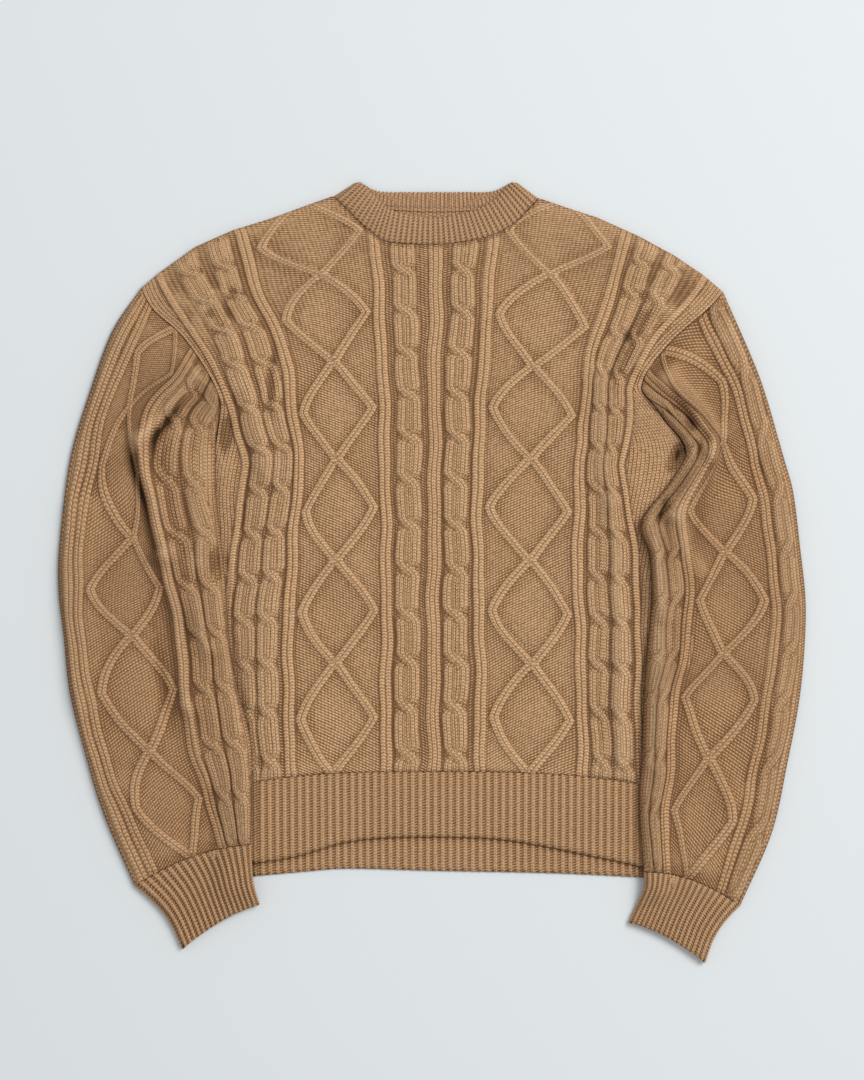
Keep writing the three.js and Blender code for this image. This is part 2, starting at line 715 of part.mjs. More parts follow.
// A flattened tube: its ring goes along the upper face from one fold to the other and back along the lower.
// Each ring place has its share across and its face.
function tubeWall(upperShares, lowerShares, rowPlaces, placeOf, heightsOf, innerSteps) {
  const ring = [
    { share: 0, face: "fold" },
    ...upperShares.map((share) => ({ share, face: "upper" })),
    { share: 1, face: "fold" },
    ...[...lowerShares].reverse().map((share) => ({ share, face: "lower" })),
  ];
  const heights = rowPlaces.map((at) => ring.map(({ share, face }) => {
    const { low, high, raised } = heightsOf(share, at, face);
    return { low, high, raised, point: placeOf(share, at, face) };
  }));
  const outer = heights.map((row) => row.map(({ low, high, raised, point }, k) => {
    const z = { fold: (low + high) / 2, upper: high + raised, lower: low }[ring[k].face];
    return [point.x, point.y, z];
  }));
  const firstInnerFold = upperShares.length + 1;
  const innerColumns = [0];
  const { skip, columns: step } = innerSteps;
  for (let k = skip; k <= firstInnerFold - skip; k += step) innerColumns.push(k);
  innerColumns.push(firstInnerFold);
  lowerShares.forEach((share, k) => innerColumns.push(firstInnerFold + 1 + k));
  const innerRows = everyOther(rowPlaces.length, innerSteps.rows);
  const tops = heights.map((row) => row.map(({ high }) => high));
  const inner = innerRows.map((r) => innerColumns.map((k) => {
    const { share, face } = ring[k];
    const { low, high } = heights[r][k];
    if (face === "fold") {
      const point = placeOf(share, rowPlaces[r], face, wall);
      return [point.x, point.y, (low + high) / 2];
    }
    const point = placeOf(share, rowPlaces[r], face, 0, wall + 1.5);
    if (face === "lower") return [point.x, point.y, low + wall];
    const under = tops.map((row) => row.slice(1, firstInnerFold));
    const lowest = lowestAround(under, r, k - 1, innerSteps.rows, innerSteps.columns);
    return [point.x, point.y, Math.max(lowest - wall, low + wall + layerGap)];
  }));
  return clothWall(outer, inner, innerRows, innerColumns, true);
}

// A sleeve's or cuff's cross line, with its bow toward the collar in the middle
function crossPoint(rows, at, share, inset, innerInset) {
  const from = { x: along(rows, "outerX", at), y: along(rows, "outerY", at) };
  const to = { x: along(rows, "innerX", at), y: along(rows, "innerY", at) };
  const length = Math.hypot(to.x - from.x, to.y - from.y);
  let across = share;
  if (inset > 0) across = share < 0.5 ? inset / length : 1 - inset / length;
  if (innerInset > 0) across = clamp(share, innerInset / length, 1 - innerInset / length);
  const bow = along(rows, "bow", at) * 4 * across * (1 - across);
  return { x: mix(from.x, to.x, across), y: mix(from.y, to.y, across) + bow, across, length };
}

// Rounded loft of a flattened tube, thinner at its folds
function tubeLoft(share, length) {
  const edge = Math.min(share, 1 - share) * length;
  return ease(0, 9, edge);
}

function armholeLine(half) {
  const column = half === leftHalf ? 0 : lastFrontColumn;
  const points = [];
  for (let r = frontRows - 1; r >= underarmRow; r -= 1) points.push(frontPlan[r][column]);
  return lineWalker(points);
}

function sleeveShares(rows, at) {
  const outerX = along(rows, "outerX", at);
  const innerX = along(rows, "innerX", at);
  const share = (x) => (x - outerX) / (innerX - outerX);
  const outerRib = share(along(rows, "outerRib", at));
  const lines = ["diamond", "innerRib", "cable", "lastCable"].map((line) => share(along(rows, line, at)));
  return [0, outerRib / 2, outerRib, ...lines, 1];
}

function sleeveLength(rows, at) {
  const width = along(rows, "innerX", at) - along(rows, "outerX", at);
  const rise = along(rows, "innerY", at) - along(rows, "outerY", at);
  return Math.hypot(width, rise);
}

function makeSleeve(half, rows, folds) {
  const side = half === leftHalf ? -1 : 1;
  const seam = armholeLine(half);
  const rowCount = 30;
  const rowPlaces = Array.from({ length: rowCount + 1 }, (unused, r) => sleeveDiamonds * r / rowCount);
  const laidAt = (at) => {
    const length = sleeveLength(rows, at);
    return layBands(sleeveBands, sleeveShares(rows, at).map((share) => share * length), at);
  };
  const columnShares = (at) => ridgePlaces(laidAt(at)).map((place) => place / sleeveLength(rows, at));
  const upperCount = columnShares(0).length;
  const upperIndex = Array.from({ length: upperCount - 2 }, (unused, k) => k + 1);
  const lowerIndex = [1, 2, 3, 4, 5, 6, 7];

  // The lower face has its points where the ramp over the body's side begins and ends
  const lowerShare = (index, at) => {
    const length = sleeveLength(rows, at);
    const innerX = along(rows, "innerX", at);
    const edge = bodyEdgeX(half, along(rows, "innerY", at));
    const over = clamp(side * (edge - innerX), 0, 60);
    const foot = 1 - (over + rampWidth + 4) / length;
    const top = 1 - Math.max(over + 3, 9) / length;
    return [0, 0.06, 0.28 * foot, 0.5 * foot, 0.75 * foot, foot, top, 1 - 5 / length][index];
  };
  const shareOf = (index, at, face) => {
    if (face === "fold") return index;
    return face === "upper" ? columnShares(at)[index] : lowerShare(index, at);
  };
  const placeOf = (index, at, face, inset = 0, innerInset = 0) => {
    const point = crossPoint(rows, at, shareOf(index, at, face), inset, innerInset);
    const seamPoint = seam(point.across);
    const toSeam = ease(armholeFrom, sleeveDiamonds, at);
    const line = crossPoint(rows, sleeveDiamonds, point.across, 0, 0);
    const gap = seamGap + (inset + innerInset > 0 || face === "lower" ? insideGap : 0);
    return {
      x: point.x + toSeam * (seamPoint.x - side * gap * seamPoint.alongY - line.x),
      y: point.y + toSeam * (seamPoint.y + side * gap * seamPoint.alongX - line.y),
      across: point.across,
      length: point.length,
    };
  };
  const heightsOf = (index, at, face) => {
    const point = placeOf(index, at, face);
    const low = underSleeve(half, point.x, point.y);
    const atSeam = ease(crownFrom, sleeveDiamonds, at);
    const atCuff = 1 - ease(0, 0.15, at);
    const loft = tubeLoft(point.across, point.length);
    const fold = foldHeight(folds, point.x, point.y) * (1 - atSeam) * (1 - atCuff);
    const crown = loft * mix(sleeveLoft, 1, atCuff) + Math.max(fold, 0) * ease(0, 0.7, loft);
    const loose = low + tubeHeight + crown;
    const high = mix(loose, frontFace + (tubeHeight - frontFace) * (1 - atSeam), atSeam);
    let raised = 0;
    if (face === "upper" && at > 0 && at < sleeveDiamonds) {
      const place = point.across * point.length;
      raised = stitchHeight(laidAt(at), place, at * sleeveCrossings) * ease(0, 0.8, loft);
    }
    return { low: low * (1 - atSeam), high, raised };
  };
  return tubeWall(upperIndex, lowerIndex, rowPlaces, placeOf, heightsOf, { skip: 2, columns: 2, rows: 2 });
}

function makeCuff(half, rows) {
  const ribs = 17;
  const rowPlaces = [0, 0.1, 0.55, 1];
  const upper = Array.from({ length: 2 * ribs - 1 }, (unused, k) => (k + 1) / (2 * ribs));
  const lower = [0.07, 0.25, 0.45, 0.65, 0.82, 0.93];
  const placeOf = (share, at, face, inset = 0, innerInset = 0) => {
    const point = crossPoint(rows, at, share, inset, innerInset);
    const inside = inset + innerInset > 0 || face === "lower";
    return { ...point, y: point.y - (at === 1 ? cuffGap + (inside ? insideGap : 0) : 0) };
  };
  const heightsOf = (share, at, face) => {
    const point = placeOf(share, at, face);
    const low = underSleeve(half, point.x, point.y);
    const loft = tubeLoft(point.across, point.length);
    const crest = Math.round(share * 2 * ribs) % 2 === 1;
    const raised = face === "upper" && crest && at < 1 ? bandRibRise * 1.4 * loft : 0;
    return { low, high: low + tubeHeight + loft, raised };
  };
  return tubeWall(upper, lower, rowPlaces, placeOf, heightsOf, { skip: 3, columns: 4, rows: 1 });
}

// The neckband is a ring folded at both sides: the front strip on top, the back strip under it
function makeNeckband() {
  const ribs = 42;
  const rowPlaces = [0, 0.12, 0.5, 0.88, 1];
  const upper = Array.from({ length: 2 * ribs - 1 }, (unused, k) => (k + 1) / (2 * ribs));
  const seamPoints = (plan, neck) => plan[plan.length - 1].filter((point) => onNeck(neck, point));
  const lower = lineShares(seamPoints(back.plan, neckBack)).slice(1, -1);
  const frontSeam = lineWalker(seamPoints(frontPlan, neckFront));
  const backSeam = lineWalker(seamPoints(back.plan, neckBack));
  const strip = { upper: [neckFront, frontSeam], lower: [neckBack, backSeam] };
  const length = 200;
  const placeOf = (share, at, face, inset = 0, innerInset = 0) => {
    let across = share;
    if (inset > 0) across = share < 0.5 ? inset / length : 1 - inset / length;
    if (innerInset > 0) across = clamp(share, innerInset / length, 1 - innerInset / length);
    const inside = inset + innerInset > 0;
    const [neck, seam] = strip[face === "upper" || (face === "fold" && !inside) ? "upper" : "lower"];
    const from = seam(across);
    const to = { x: along(neck, "edgeX", across), y: along(neck, "edgeY", across) };
    const width = Math.hypot(to.x - from.x, to.y - from.y);
    const up = mix((seamGap + (inside ? insideGap : 0)) / width, 1, at);
    return { x: mix(from.x, to.x, up), y: mix(from.y, to.y, up), across };
  };
  const heightsOf = (share, at, face) => {
    const loft = tubeLoft(share, length);
    const crest = face === "upper" && Math.round(share * 2 * ribs) % 2 === 1;
    const crown = 1.6 * Math.sin(Math.PI * at) ** 0.7 * loft;
    const high = frontFace + crown - (at === 1 ? hemEdgeDrop * loft : 0);
    return { low: 0, high, raised: crest && at > 0 && at < 1 ? bandRibRise : 0 };
  };
  return tubeWall(upper, lower, rowPlaces, placeOf, heightsOf, { skip: 5, columns: 5, rows: 2 });
}

const camel = "#a37b4f";
const rib = "#9b744a";
const raisedRib = (crest) => (crest ? bandRibRise : 0);
const sunkRib = (crest) => (crest ? 0 : -bandRibRise);

const sweater = new THREE.Group();
sweater.add(
  piece("back", back.geometry, camel),
  piece("front", makeFront(), camel),
  piece("hem_back", makeHem(back.plan, hemBackEdge, 0, sunkRib), rib),
  piece("hem_front", makeHem(frontPlan, hemFrontEdge, frontUnderside, raisedRib), rib),
  piece("sleeve_left", makeSleeve(leftHalf, sleeveLeft, sleeveLeftFolds), camel),
  piece("sleeve_right", makeSleeve(rightHalf, sleeveRight, sleeveRightFolds), camel),
  piece("cuff_left", makeCuff(leftHalf, cuffLeft), rib),
  piece("cuff_right", makeCuff(rightHalf, cuffRight), rib),
  piece("neckband", makeNeckband(), rib),
);
sweater.position.set(-middle.x, -middle.y, 0);

export default sweater;
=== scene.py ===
import bpy
import numpy as np
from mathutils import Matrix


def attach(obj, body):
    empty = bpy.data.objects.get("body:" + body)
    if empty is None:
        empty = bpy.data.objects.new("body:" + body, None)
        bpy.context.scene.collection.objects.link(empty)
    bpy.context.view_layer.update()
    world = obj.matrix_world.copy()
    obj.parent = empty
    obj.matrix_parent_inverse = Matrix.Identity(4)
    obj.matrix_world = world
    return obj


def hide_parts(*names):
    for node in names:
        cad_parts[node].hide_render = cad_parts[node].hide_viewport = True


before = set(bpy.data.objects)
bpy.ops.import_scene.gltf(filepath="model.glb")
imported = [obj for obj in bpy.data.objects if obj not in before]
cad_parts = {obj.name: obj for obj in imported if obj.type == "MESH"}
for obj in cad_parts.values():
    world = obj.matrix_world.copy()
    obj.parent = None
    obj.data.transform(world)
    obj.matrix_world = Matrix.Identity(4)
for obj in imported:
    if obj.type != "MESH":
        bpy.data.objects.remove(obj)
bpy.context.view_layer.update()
bpy.ops.object.select_all(action="DESELECT")
print("solids loaded")

# All tables and sizes are millimetres from the middle of the body, as the garment lies: x across, y toward
# the collar
cloth = {
    "middleX": -0.59, "middleY": 1.0,  # the tables' place in the part's frame
    "wall": 2.5,
    "layerGap": 0.3,
    "tubeSlit": 0.9,  # between the two layers of a sleeve or cuff
    "seamGap": 0.35,
    "stitch": 3.6, "row": 2.9,  # one stitch of plain knitting, across and along
    "rowsPerDiamond": 34,
    "groundStitch": 2.9, "groundRows": 38,  # the ground's bumps: one across, and their rows for each diamond
    "waviness": 0.7,
    "drift": 0.75,  # how far the lines of stitches wander sideways
    "layoutAt": 2.5,  # the height at which the columns of points are spaced out
}
farOff = 1e9  # farther than anything here
wall = cloth["wall"]
frontUnderside = wall + cloth["layerGap"]
frontFace = frontUnderside + wall
tubeHeight = 2 * wall + cloth["tubeSlit"]


def table(names, rows):
    return {name: np.array(column, float) for name, column in zip(names.split(), zip(*rows))}


# "at" counts diamonds up from the hem, y is the height at the centre line, bow the fall's exponent
bodyRows = table("at y bow centre", [
    (0, -189, 3, 1),
    (1, -85, 2.5, 1),
    (2, 14, 2.1, 1),
    (3, 112, 1.8, 2),
    (4, 205, 1.5, 2),
    (4.5, 251, 1.4, 3),
    (5, 296, 1.3, 3),
    (5.5, 334, 1.25, 3),
    (6.2, 388, 1.25, 3),
])
lineNames = "cable innerRib diamond outerRib sideCable edgeCable edgeRib edge"
leftHalf = table("at drop " + lineNames, [
    (0, 14, -25, -44, -95, -134, -154, -173, -184, -190),
    (1, 8, -24, -44, -92, -137, -157, -179, -194, -210),
    (2, 13, -23, -44, -91, -134, -152, -174, -191, -213),
    (3, 19, -22, -45, -91, -127, -141, -162, -178, -211),
    (3.4, 18.5, -23, -46, -92.5, -131, -147, -170, -186, -204.3),
    (3.75, 18, -23.5, -47, -94, -135, -152, -177, -194, -202),
    (4, 16, -24, -48, -95, -138, -158, -185, -204, -213),
    (4.5, 26, -26, -51, -99, -152, -173, -200, -226, -238),
    (5, 44, -27, -53, -106, -168, -190, -218, -247, -267),
    (5.5, 52, -27, -56, -116, -176, -199, -233, -261, -280),
    (6.2, 60, -28, -59, -130, -193, -217, -250, -275, -292),
])
rightHalf = table("at drop " + lineNames, [
    (0, 14, 22, 45, 91, 142, 161, 181, 197, 209),
    (1, 14, 22, 45, 95, 141, 159, 178, 194, 220),
    (2, 16, 22, 43, 93, 138, 158, 177, 193, 226),
    (3, 22, 23, 43, 93, 140, 157, 169, 180, 240),
    (3.2, 23, 23.5, 44, 93.5, 142, 158, 170, 182, 241),
    (3.4, 24, 24, 45, 94, 143, 159, 171, 184, 236),
    (3.6, 25, 24.3, 46, 94.3, 145, 159.6, 172, 186, 220.8),
    (3.75, 26, 24.5, 47, 94.5, 146, 160, 173, 187, 212),
    (4, 28, 25, 48, 95, 148, 161, 174, 188, 198),
    (4.5, 34, 28, 52, 103, 157, 176, 193, 209, 224),
    (5, 40, 30, 55, 110, 171, 191, 216, 245, 267),
    (5.5, 49, 32, 57, 120, 180, 202, 230, 262, 285),
    (6.2, 59, 34, 60, 131, 192, 215, 244, 273, 297),
])
underarmAt = 3.75

shoulderLeft = table("at y", [
    (-300, 250), (-275, 271), (-259, 284.5), (-225, 309), (-189, 325), (-150, 337), (-118, 349), (-95, 357),
])
shoulderRight = table("at y", [
    (102, 355), (122, 348), (156, 337), (196, 319), (229, 301), (256, 283), (282, 261), (300, 246),
])

# The neckband's seam and free edge, from the left fold to the right one
neckFront = table("at seamX seamY edgeX edgeY", [
    (0, -95, 357, -71, 372),
    (0.075, -82, 346, -63, 365),
    (0.178, -66, 329, -51, 353),
    (0.286, -46, 315, -38, 344),
    (0.394, -22, 311.5, -18, 338.5),
    (0.509, 4, 311, 4, 337),
    (0.624, 30, 313.5, 25, 340),
    (0.743, 56, 320, 44, 346),
    (0.854, 78, 332, 61, 356.5),
    (0.938, 92, 345, 71, 367),
    (1, 102, 355, 78, 372),
])
neckBack = table("at seamX seamY edgeX edgeY", [
    (0, -95, 357, -71, 372),
    (0.18, -60, 346.5, -52, 362),
    (0.34, -28, 343, -25, 361),
    (0.5, 4, 342, 4, 361),
    (0.66, 36, 343, 32, 361),
    (0.83, 70, 346.5, 58, 362),
    (1, 102, 355, 78, 372),
])
hemFrontEdge = table("at y", [
    (-189, -277), (-133, -269), (-84, -255), (-32, -250), (52, -251), (86, -255), (143, -266), (209, -280),
])
hemBackEdge = table("at y", [
    (-189, -289), (-123, -283), (-84, -280), (0, -282), (104, -284), (156, -286), (209, -289),
])

# "at" counts diamonds up from the cuff; the lines' x places lie between the outer and inner edges
edgeNames = "at outerX outerY innerX innerY bow"
sleeveLeft = table(edgeNames + " outerRib diamond innerRib cable lastCable", [
    (0, -283, -297, -172, -257, 8, -264, -228, -198, -188, -179),
    (0.5, -312, -230, -171, -211, 4, -292, -248, -211, -196, -182),
    (1, -329, -175, -172, -160, 0, -311, -268, -228, -207, -188),
    (1.5, -344, -116, -185, -108, 0, -326, -276, -234, -214, -197),
    (2, -350, -62, -193, -57, 0, -333, -285, -239, -221, -205),
    (2.5, -355, -17, -196, -12, 0, -336, -287, -247, -230, -211),
    (3, -354, 28, -201, 39, 0, -334, -283, -258, -242, -216),
    (3.5, -344, 107, -205, 80, 0, -323, -292, -271, -252, -226),
    (4, -326, 169, -205, 133, 0, -308, -286, -268, -246, -224),
    (4.5, -304, 228, -203.4, 152, 0, -285, -260, -243, -227, -213),
    (5, -275, 271, -201, 161, 0, -265, -246, -230, -218, -208),
])
sleeveRight = table(edgeNames + " outerRib diamond innerRib cable lastCable", [
    (0, 292, -316, 200, -283, 8, 273, 241, 221, 213, 206),
    (0.5, 322, -247, 196, -222, 4, 293, 251, 219, 210, 202),
    (1, 337, -180, 198, -173, 0, 306, 262, 225, 214, 206),
    (1.5, 348, -122, 200, -117, 0, 316, 267, 228, 217, 208),
    (2, 353, -72, 202, -81, 0, 323, 276, 237, 226, 213),
    (2.5, 354, -26, 207, -26, 0, 324, 280, 242, 230, 218),
    (3, 349, 23, 205, 16, 0, 320, 278, 238, 226, 215),
    (3.5, 342, 78, 198, 50, 0, 312, 268, 235, 221, 209),
    (3.75, 334, 107, 224, 84, 0, 306, 267, 250, 241, 232),
    (4, 326, 135, 240, 114, 0, 300, 274, 263, 256, 248),
    (4.25, 317, 166, 230, 132, 0, 293, 265, 252, 244, 236),
    (4.5, 306, 197, 220, 147, 0, 285, 255, 241, 233, 226),
    (5, 275, 268, 212, 156, 0, 262, 240, 228, 221, 216),
])
cuffLeft = table(edgeNames, [
    (0, -238, -357, -164, -314, 5),
    (0.33, -249, -333, -169, -296, 6),
    (0.66, -262, -316, -171, -276, 7),
    (1, -283, -297, -172, -257, 8),
])
cuffRight = table(edgeNames, [
    (0, 259, -370, 186, -331, 5),
    (0.33, 267, -348, 194, -314, 6),
    (0.66, 278, -331, 200, -298, 7),
    (1, 292, -316, 200, -283, 8),
])

# A soft ridge along three points, or a trough where its rise is under zero, with a width on either side
foldNames = "x1 y1 x2 y2 x3 y3 rise left right"
bodyFolds = table(foldNames, [
    (-192, 226, -176, 170, -160, 100, 5, 9, 18),
    (-160, 100, -160, 0, -162, -120, 2.5, 13, 17),
    (-151, 214, -153, 180, -154, 142, -3, 5, 5),
    (170, 69, 178, -40, 180, -178, 5, 9, 6),
    (158, 190, 160, 130, 168, 69, 4, 11, 8),
    (210, 262, 230, 245, 250, 250, 2.5, 12, 12),
    (-240, 258, -222, 250, -205, 262, 3, 12, 10),
    (-218, 249, -214, 246, -206, 243, -2.5, 7, 7),
    (206, 251, 190, 225, 172, 175, -3, 7, 6),
    (241, 121, 235, 114, 228, 101, -15, 6, 6),
    (-198, 148, -199, 132, -200, 114, -8, 6, 7),
    (-200, 18, -200, 9, -200, 0, -12, 4, 4),
    (222, 244, 205, 222, 196, 200, 3, 7, 10),
    (-196, 268, -190, 265, -184, 264, -2.5, 6, 6),
    (-222, 236, -205, 205, -188, 176, 3, 8, 8),
    (200, 60, 200, 0, 196, -80, -1.5, 6, 6),
])
sleeveLeftFolds = table(foldNames, [
    (-210, 199, -246, 161, -278, 126, 10, 15, 7),
    (-278, 126, -270, 84, -255, 18, 10, 5, 11),
    (-255, 18, -244, -36, -233, -125, 6, 5, 11),
    (-233, -125, -222, -165, -212, -198, 4, 6, 10),
    (-238, 128, -230, 70, -226, 10, 6, 17, 12),
    (-228, 178, -248, 152, -263, 126, -5, 4, 5),
    (-292, 140, -281, 92, -262, 24, -3.5, 5, 4),
    (-284, 214, -300, 170, -308, 120, 3, 14, 14),
    (-230, -16, -224, -40, -214, -70, 5, 8, 8),
    (-206, 22, -204, 9, -203, -4, -12, 5, 4),
    (-326, 60, -334, -20, -330, -120, 3, 18, 18),
    (-292, -200, -270, -240, -240, -270, 3, 14, 12),
    (-262, -60, -256, -100, -246, -150, -2.5, 8, 6),
    (-207, 146, -205, 131, -206, 114, -6, 7, 6),
])
sleeveRightFolds = table(foldNames, [
    (203, 199, 243, 163, 267, 133, 10, 7, 13),
    (264, 117, 245, 80, 228, 54, 9, 7, 10),
    (228, 54, 238, 28, 250, 4, 5, 9, 11),
    (250, 131, 258, 122, 262, 112, 5, 6, 8),
    (224, 178, 244, 150, 254, 128, -4, 6, 5),
    (210, 40, 208, 10, 218, -40, 5, 7, 10),
    (218, 74, 222, 60, 214, 50, -3, 5, 5),
    (216, -60, 212, -120, 206, -180, 4, 8, 11),
    (232, -20, 228, -70, 226, -130, -2.5, 6, 6),
    (262, 250, 290, 190, 306, 120, 3, 14, 14),
    (325, 60, 330, -20, 322, -120, 3, 18, 18),
    (296, -210, 276, -250, 250, -290, 3, 14, 14),
])


def mix(start, end, share):
    return start + (end - start) * share


def ease(start, end, value):
    share = np.clip((value - start) / (end - start), 0, 1)
    return share * share * (3 - 2 * share)


# A smooth curve through a table's column
def along(rows, name, at):
    places, values = rows["at"], rows[name]
    last = len(places) - 1
    at = np.asarray(at, float)
    k = np.clip(np.searchsorted(places, at) - 1, 0, last - 1)
    before, after = np.maximum(np.arange(last + 1) - 1, 0), np.minimum(np.arange(last + 1) + 1, last)
    slopes = (values[after] - values[before]) / (places[after] - places[before])
    span = places[k + 1] - places[k]
    s = np.clip((at - places[k]) / span, 0, 1)
    return ((2 * s**3 - 3 * s**2 + 1) * values[k] + (s**3 - 2 * s**2 + s) * span * slopes[k]
            + (3 * s**2 - 2 * s**3) * values[k + 1] + (s**3 - s**2) * span * slopes[k + 1])


# Where a rising or falling function crosses zero, for whole arrays at once
def crossing(height, low, high):
    low, high = np.array(low, float), np.array(high, float)
    rising = height(high) > height(low)
    for halving in range(36):
        half = (low + high) / 2
        below = (height(half) < 0) == rising
        low, high = np.where(below, half, low), np.where(below, high, half)
    return (low + high) / 2


folding = {
    "sides": 0.7,
    "troughEnds": 0.25,
    "litDepth": 1, "darkDepth": 7,  # painted shade in a trough starts past the first, and is full so much deeper
}


# Height of the folds, and the painted shade in their troughs
def foldForm(folds, x, y):
    height, shade = np.zeros_like(x), np.zeros_like(x)
    for k in range(len(folds["x1"])):
        points = [(folds["x%d" % i][k], folds["y%d" % i][k]) for i in (1, 2, 3)]
        nearest, beside, far = np.full_like(x, farOff), np.zeros_like(x), np.zeros_like(x)
        for part, ((x0, y0), (x1, y1)) in enumerate(zip(points, points[1:])):
            squared = (x1 - x0)**2 + (y1 - y0)**2
            share = np.clip(((x - x0) * (x1 - x0) + (y - y0) * (y1 - y0)) / squared, 0, 1)
            awayX, awayY = x - mix(x0, x1, share), y - mix(y0, y1, share)
            distance = np.hypot(awayX, awayY)
            closer = distance < nearest
            nearest = np.where(closer, distance, nearest)
            beside = np.where(closer, awayX / np.maximum(distance, 0.01), beside)
            far = np.where(closer, part + share, far)
        width = mix(folds["left"][k], folds["right"][k], ease(-folding["sides"], folding["sides"], beside))
        profile = np.exp(-(nearest / width)**2)
        if folds["rise"][k] < 0:
            profile *= mix(folding["troughEnds"], 1, np.sin(np.pi * far / 2))  # shallower at both its ends
        height += folds["rise"][k] * profile
        # Painted shade in the trough
        shade += max(-folds["rise"][k] - folding["litDepth"], 0) / folding["darkDepth"] * profile
    return height, shade


# Slow unevenness of cloth that lies loosely
def waves(x, y):
    return (np.sin(x / 23 + 1.3 * np.sin(y / 61)) * np.sin(y / 37 + 0.8 * np.sin(x / 47))
            + 0.6 * np.sin(x / 11 + y / 19 + 2) * np.sin(y / 27 - x / 41))


# The lines of stitches wander sideways a little
def drift(x, y):
    wander = np.sin(y / 17 + x / 31) + 0.7 * np.sin(y / 9.1 - x / 23 + 1) + 0.5 * np.sin(y / 41 + x / 12)
    return wander * cloth["drift"]


# Bands across the cloth, as (line, kind, half the width, columns of stitches)
bodyBands = [
    ("edge", "edge", 0, 0), ("edgeRib", "rib", 4, 1), ("edgeCable", "cable", 11, 6),
    ("sideCable", "cable", 11, 6), ("outerRib", "rib", 6, 2), ("diamond", "diamond", 0, 0),
    ("innerRib", "rib", 6, 2), ("cable", "cable", 12, 6),
]
centreBand = ("centre", "rib", 7, 3)
allBodyBands = bodyBands + [centreBand] + bodyBands[::-1]
sleeveBands = [
    ("edge", "edge", 0, 0), ("outerCable", "cable", 8, 6), ("outerRib", "rib", 5, 2),
    ("diamond", "diamond", 0, 0), ("innerRib", "rib", 6, 2), ("cable", "cable", 11.5, 6),
    ("lastCable", "cable", 10.5, 6), ("edge", "edge", 0, 0),
]
relief = {
    "roomShare": 0.94,  # what two bands may take of the room between their lines
    "ribRise": 1.9, "ribShoulder": (0.62, 1.05), "ribFurrow": 0.28,
    "cableRise": 3.3, "strandPlace": 0.49, "strandRadius": 0.5, "cableTurn": 0.19, "cableFurrow": 0.1,
    "bodyCrossings": 2.31, "sleeveCrossings": 2,  # of a cable's strands, for each diamond
    "bodyCrossingAt": 4.92,  # where one of them lies
    "leaf": 0.86, "leafSinks": 0.6, "crossWider": 0.34, "crossHigher": 0.2, "crossDip": 0.55,
    "diamondRise": 2.2, "diamondReach": (0.02, 0.86),  # the share of its room that a diamond opens over
    "diamondRound": (0.55, 0.2),  # how round its left and right corners are
    "cordHalf": 5.2, "cordShare": 0.145, "cordShoulder": (0.45, 1.15), "cordFurrow": 0.3,
    "plain": (0.25, 0.45),  # the plain edges' lowest height, and how much their columns add
}


# The soft furrows between columns of stitches: 1 on a column, lower by depth beside it
def furrows(depth, columns):
    return 1 - depth + depth * np.abs(np.sin(np.pi * columns))


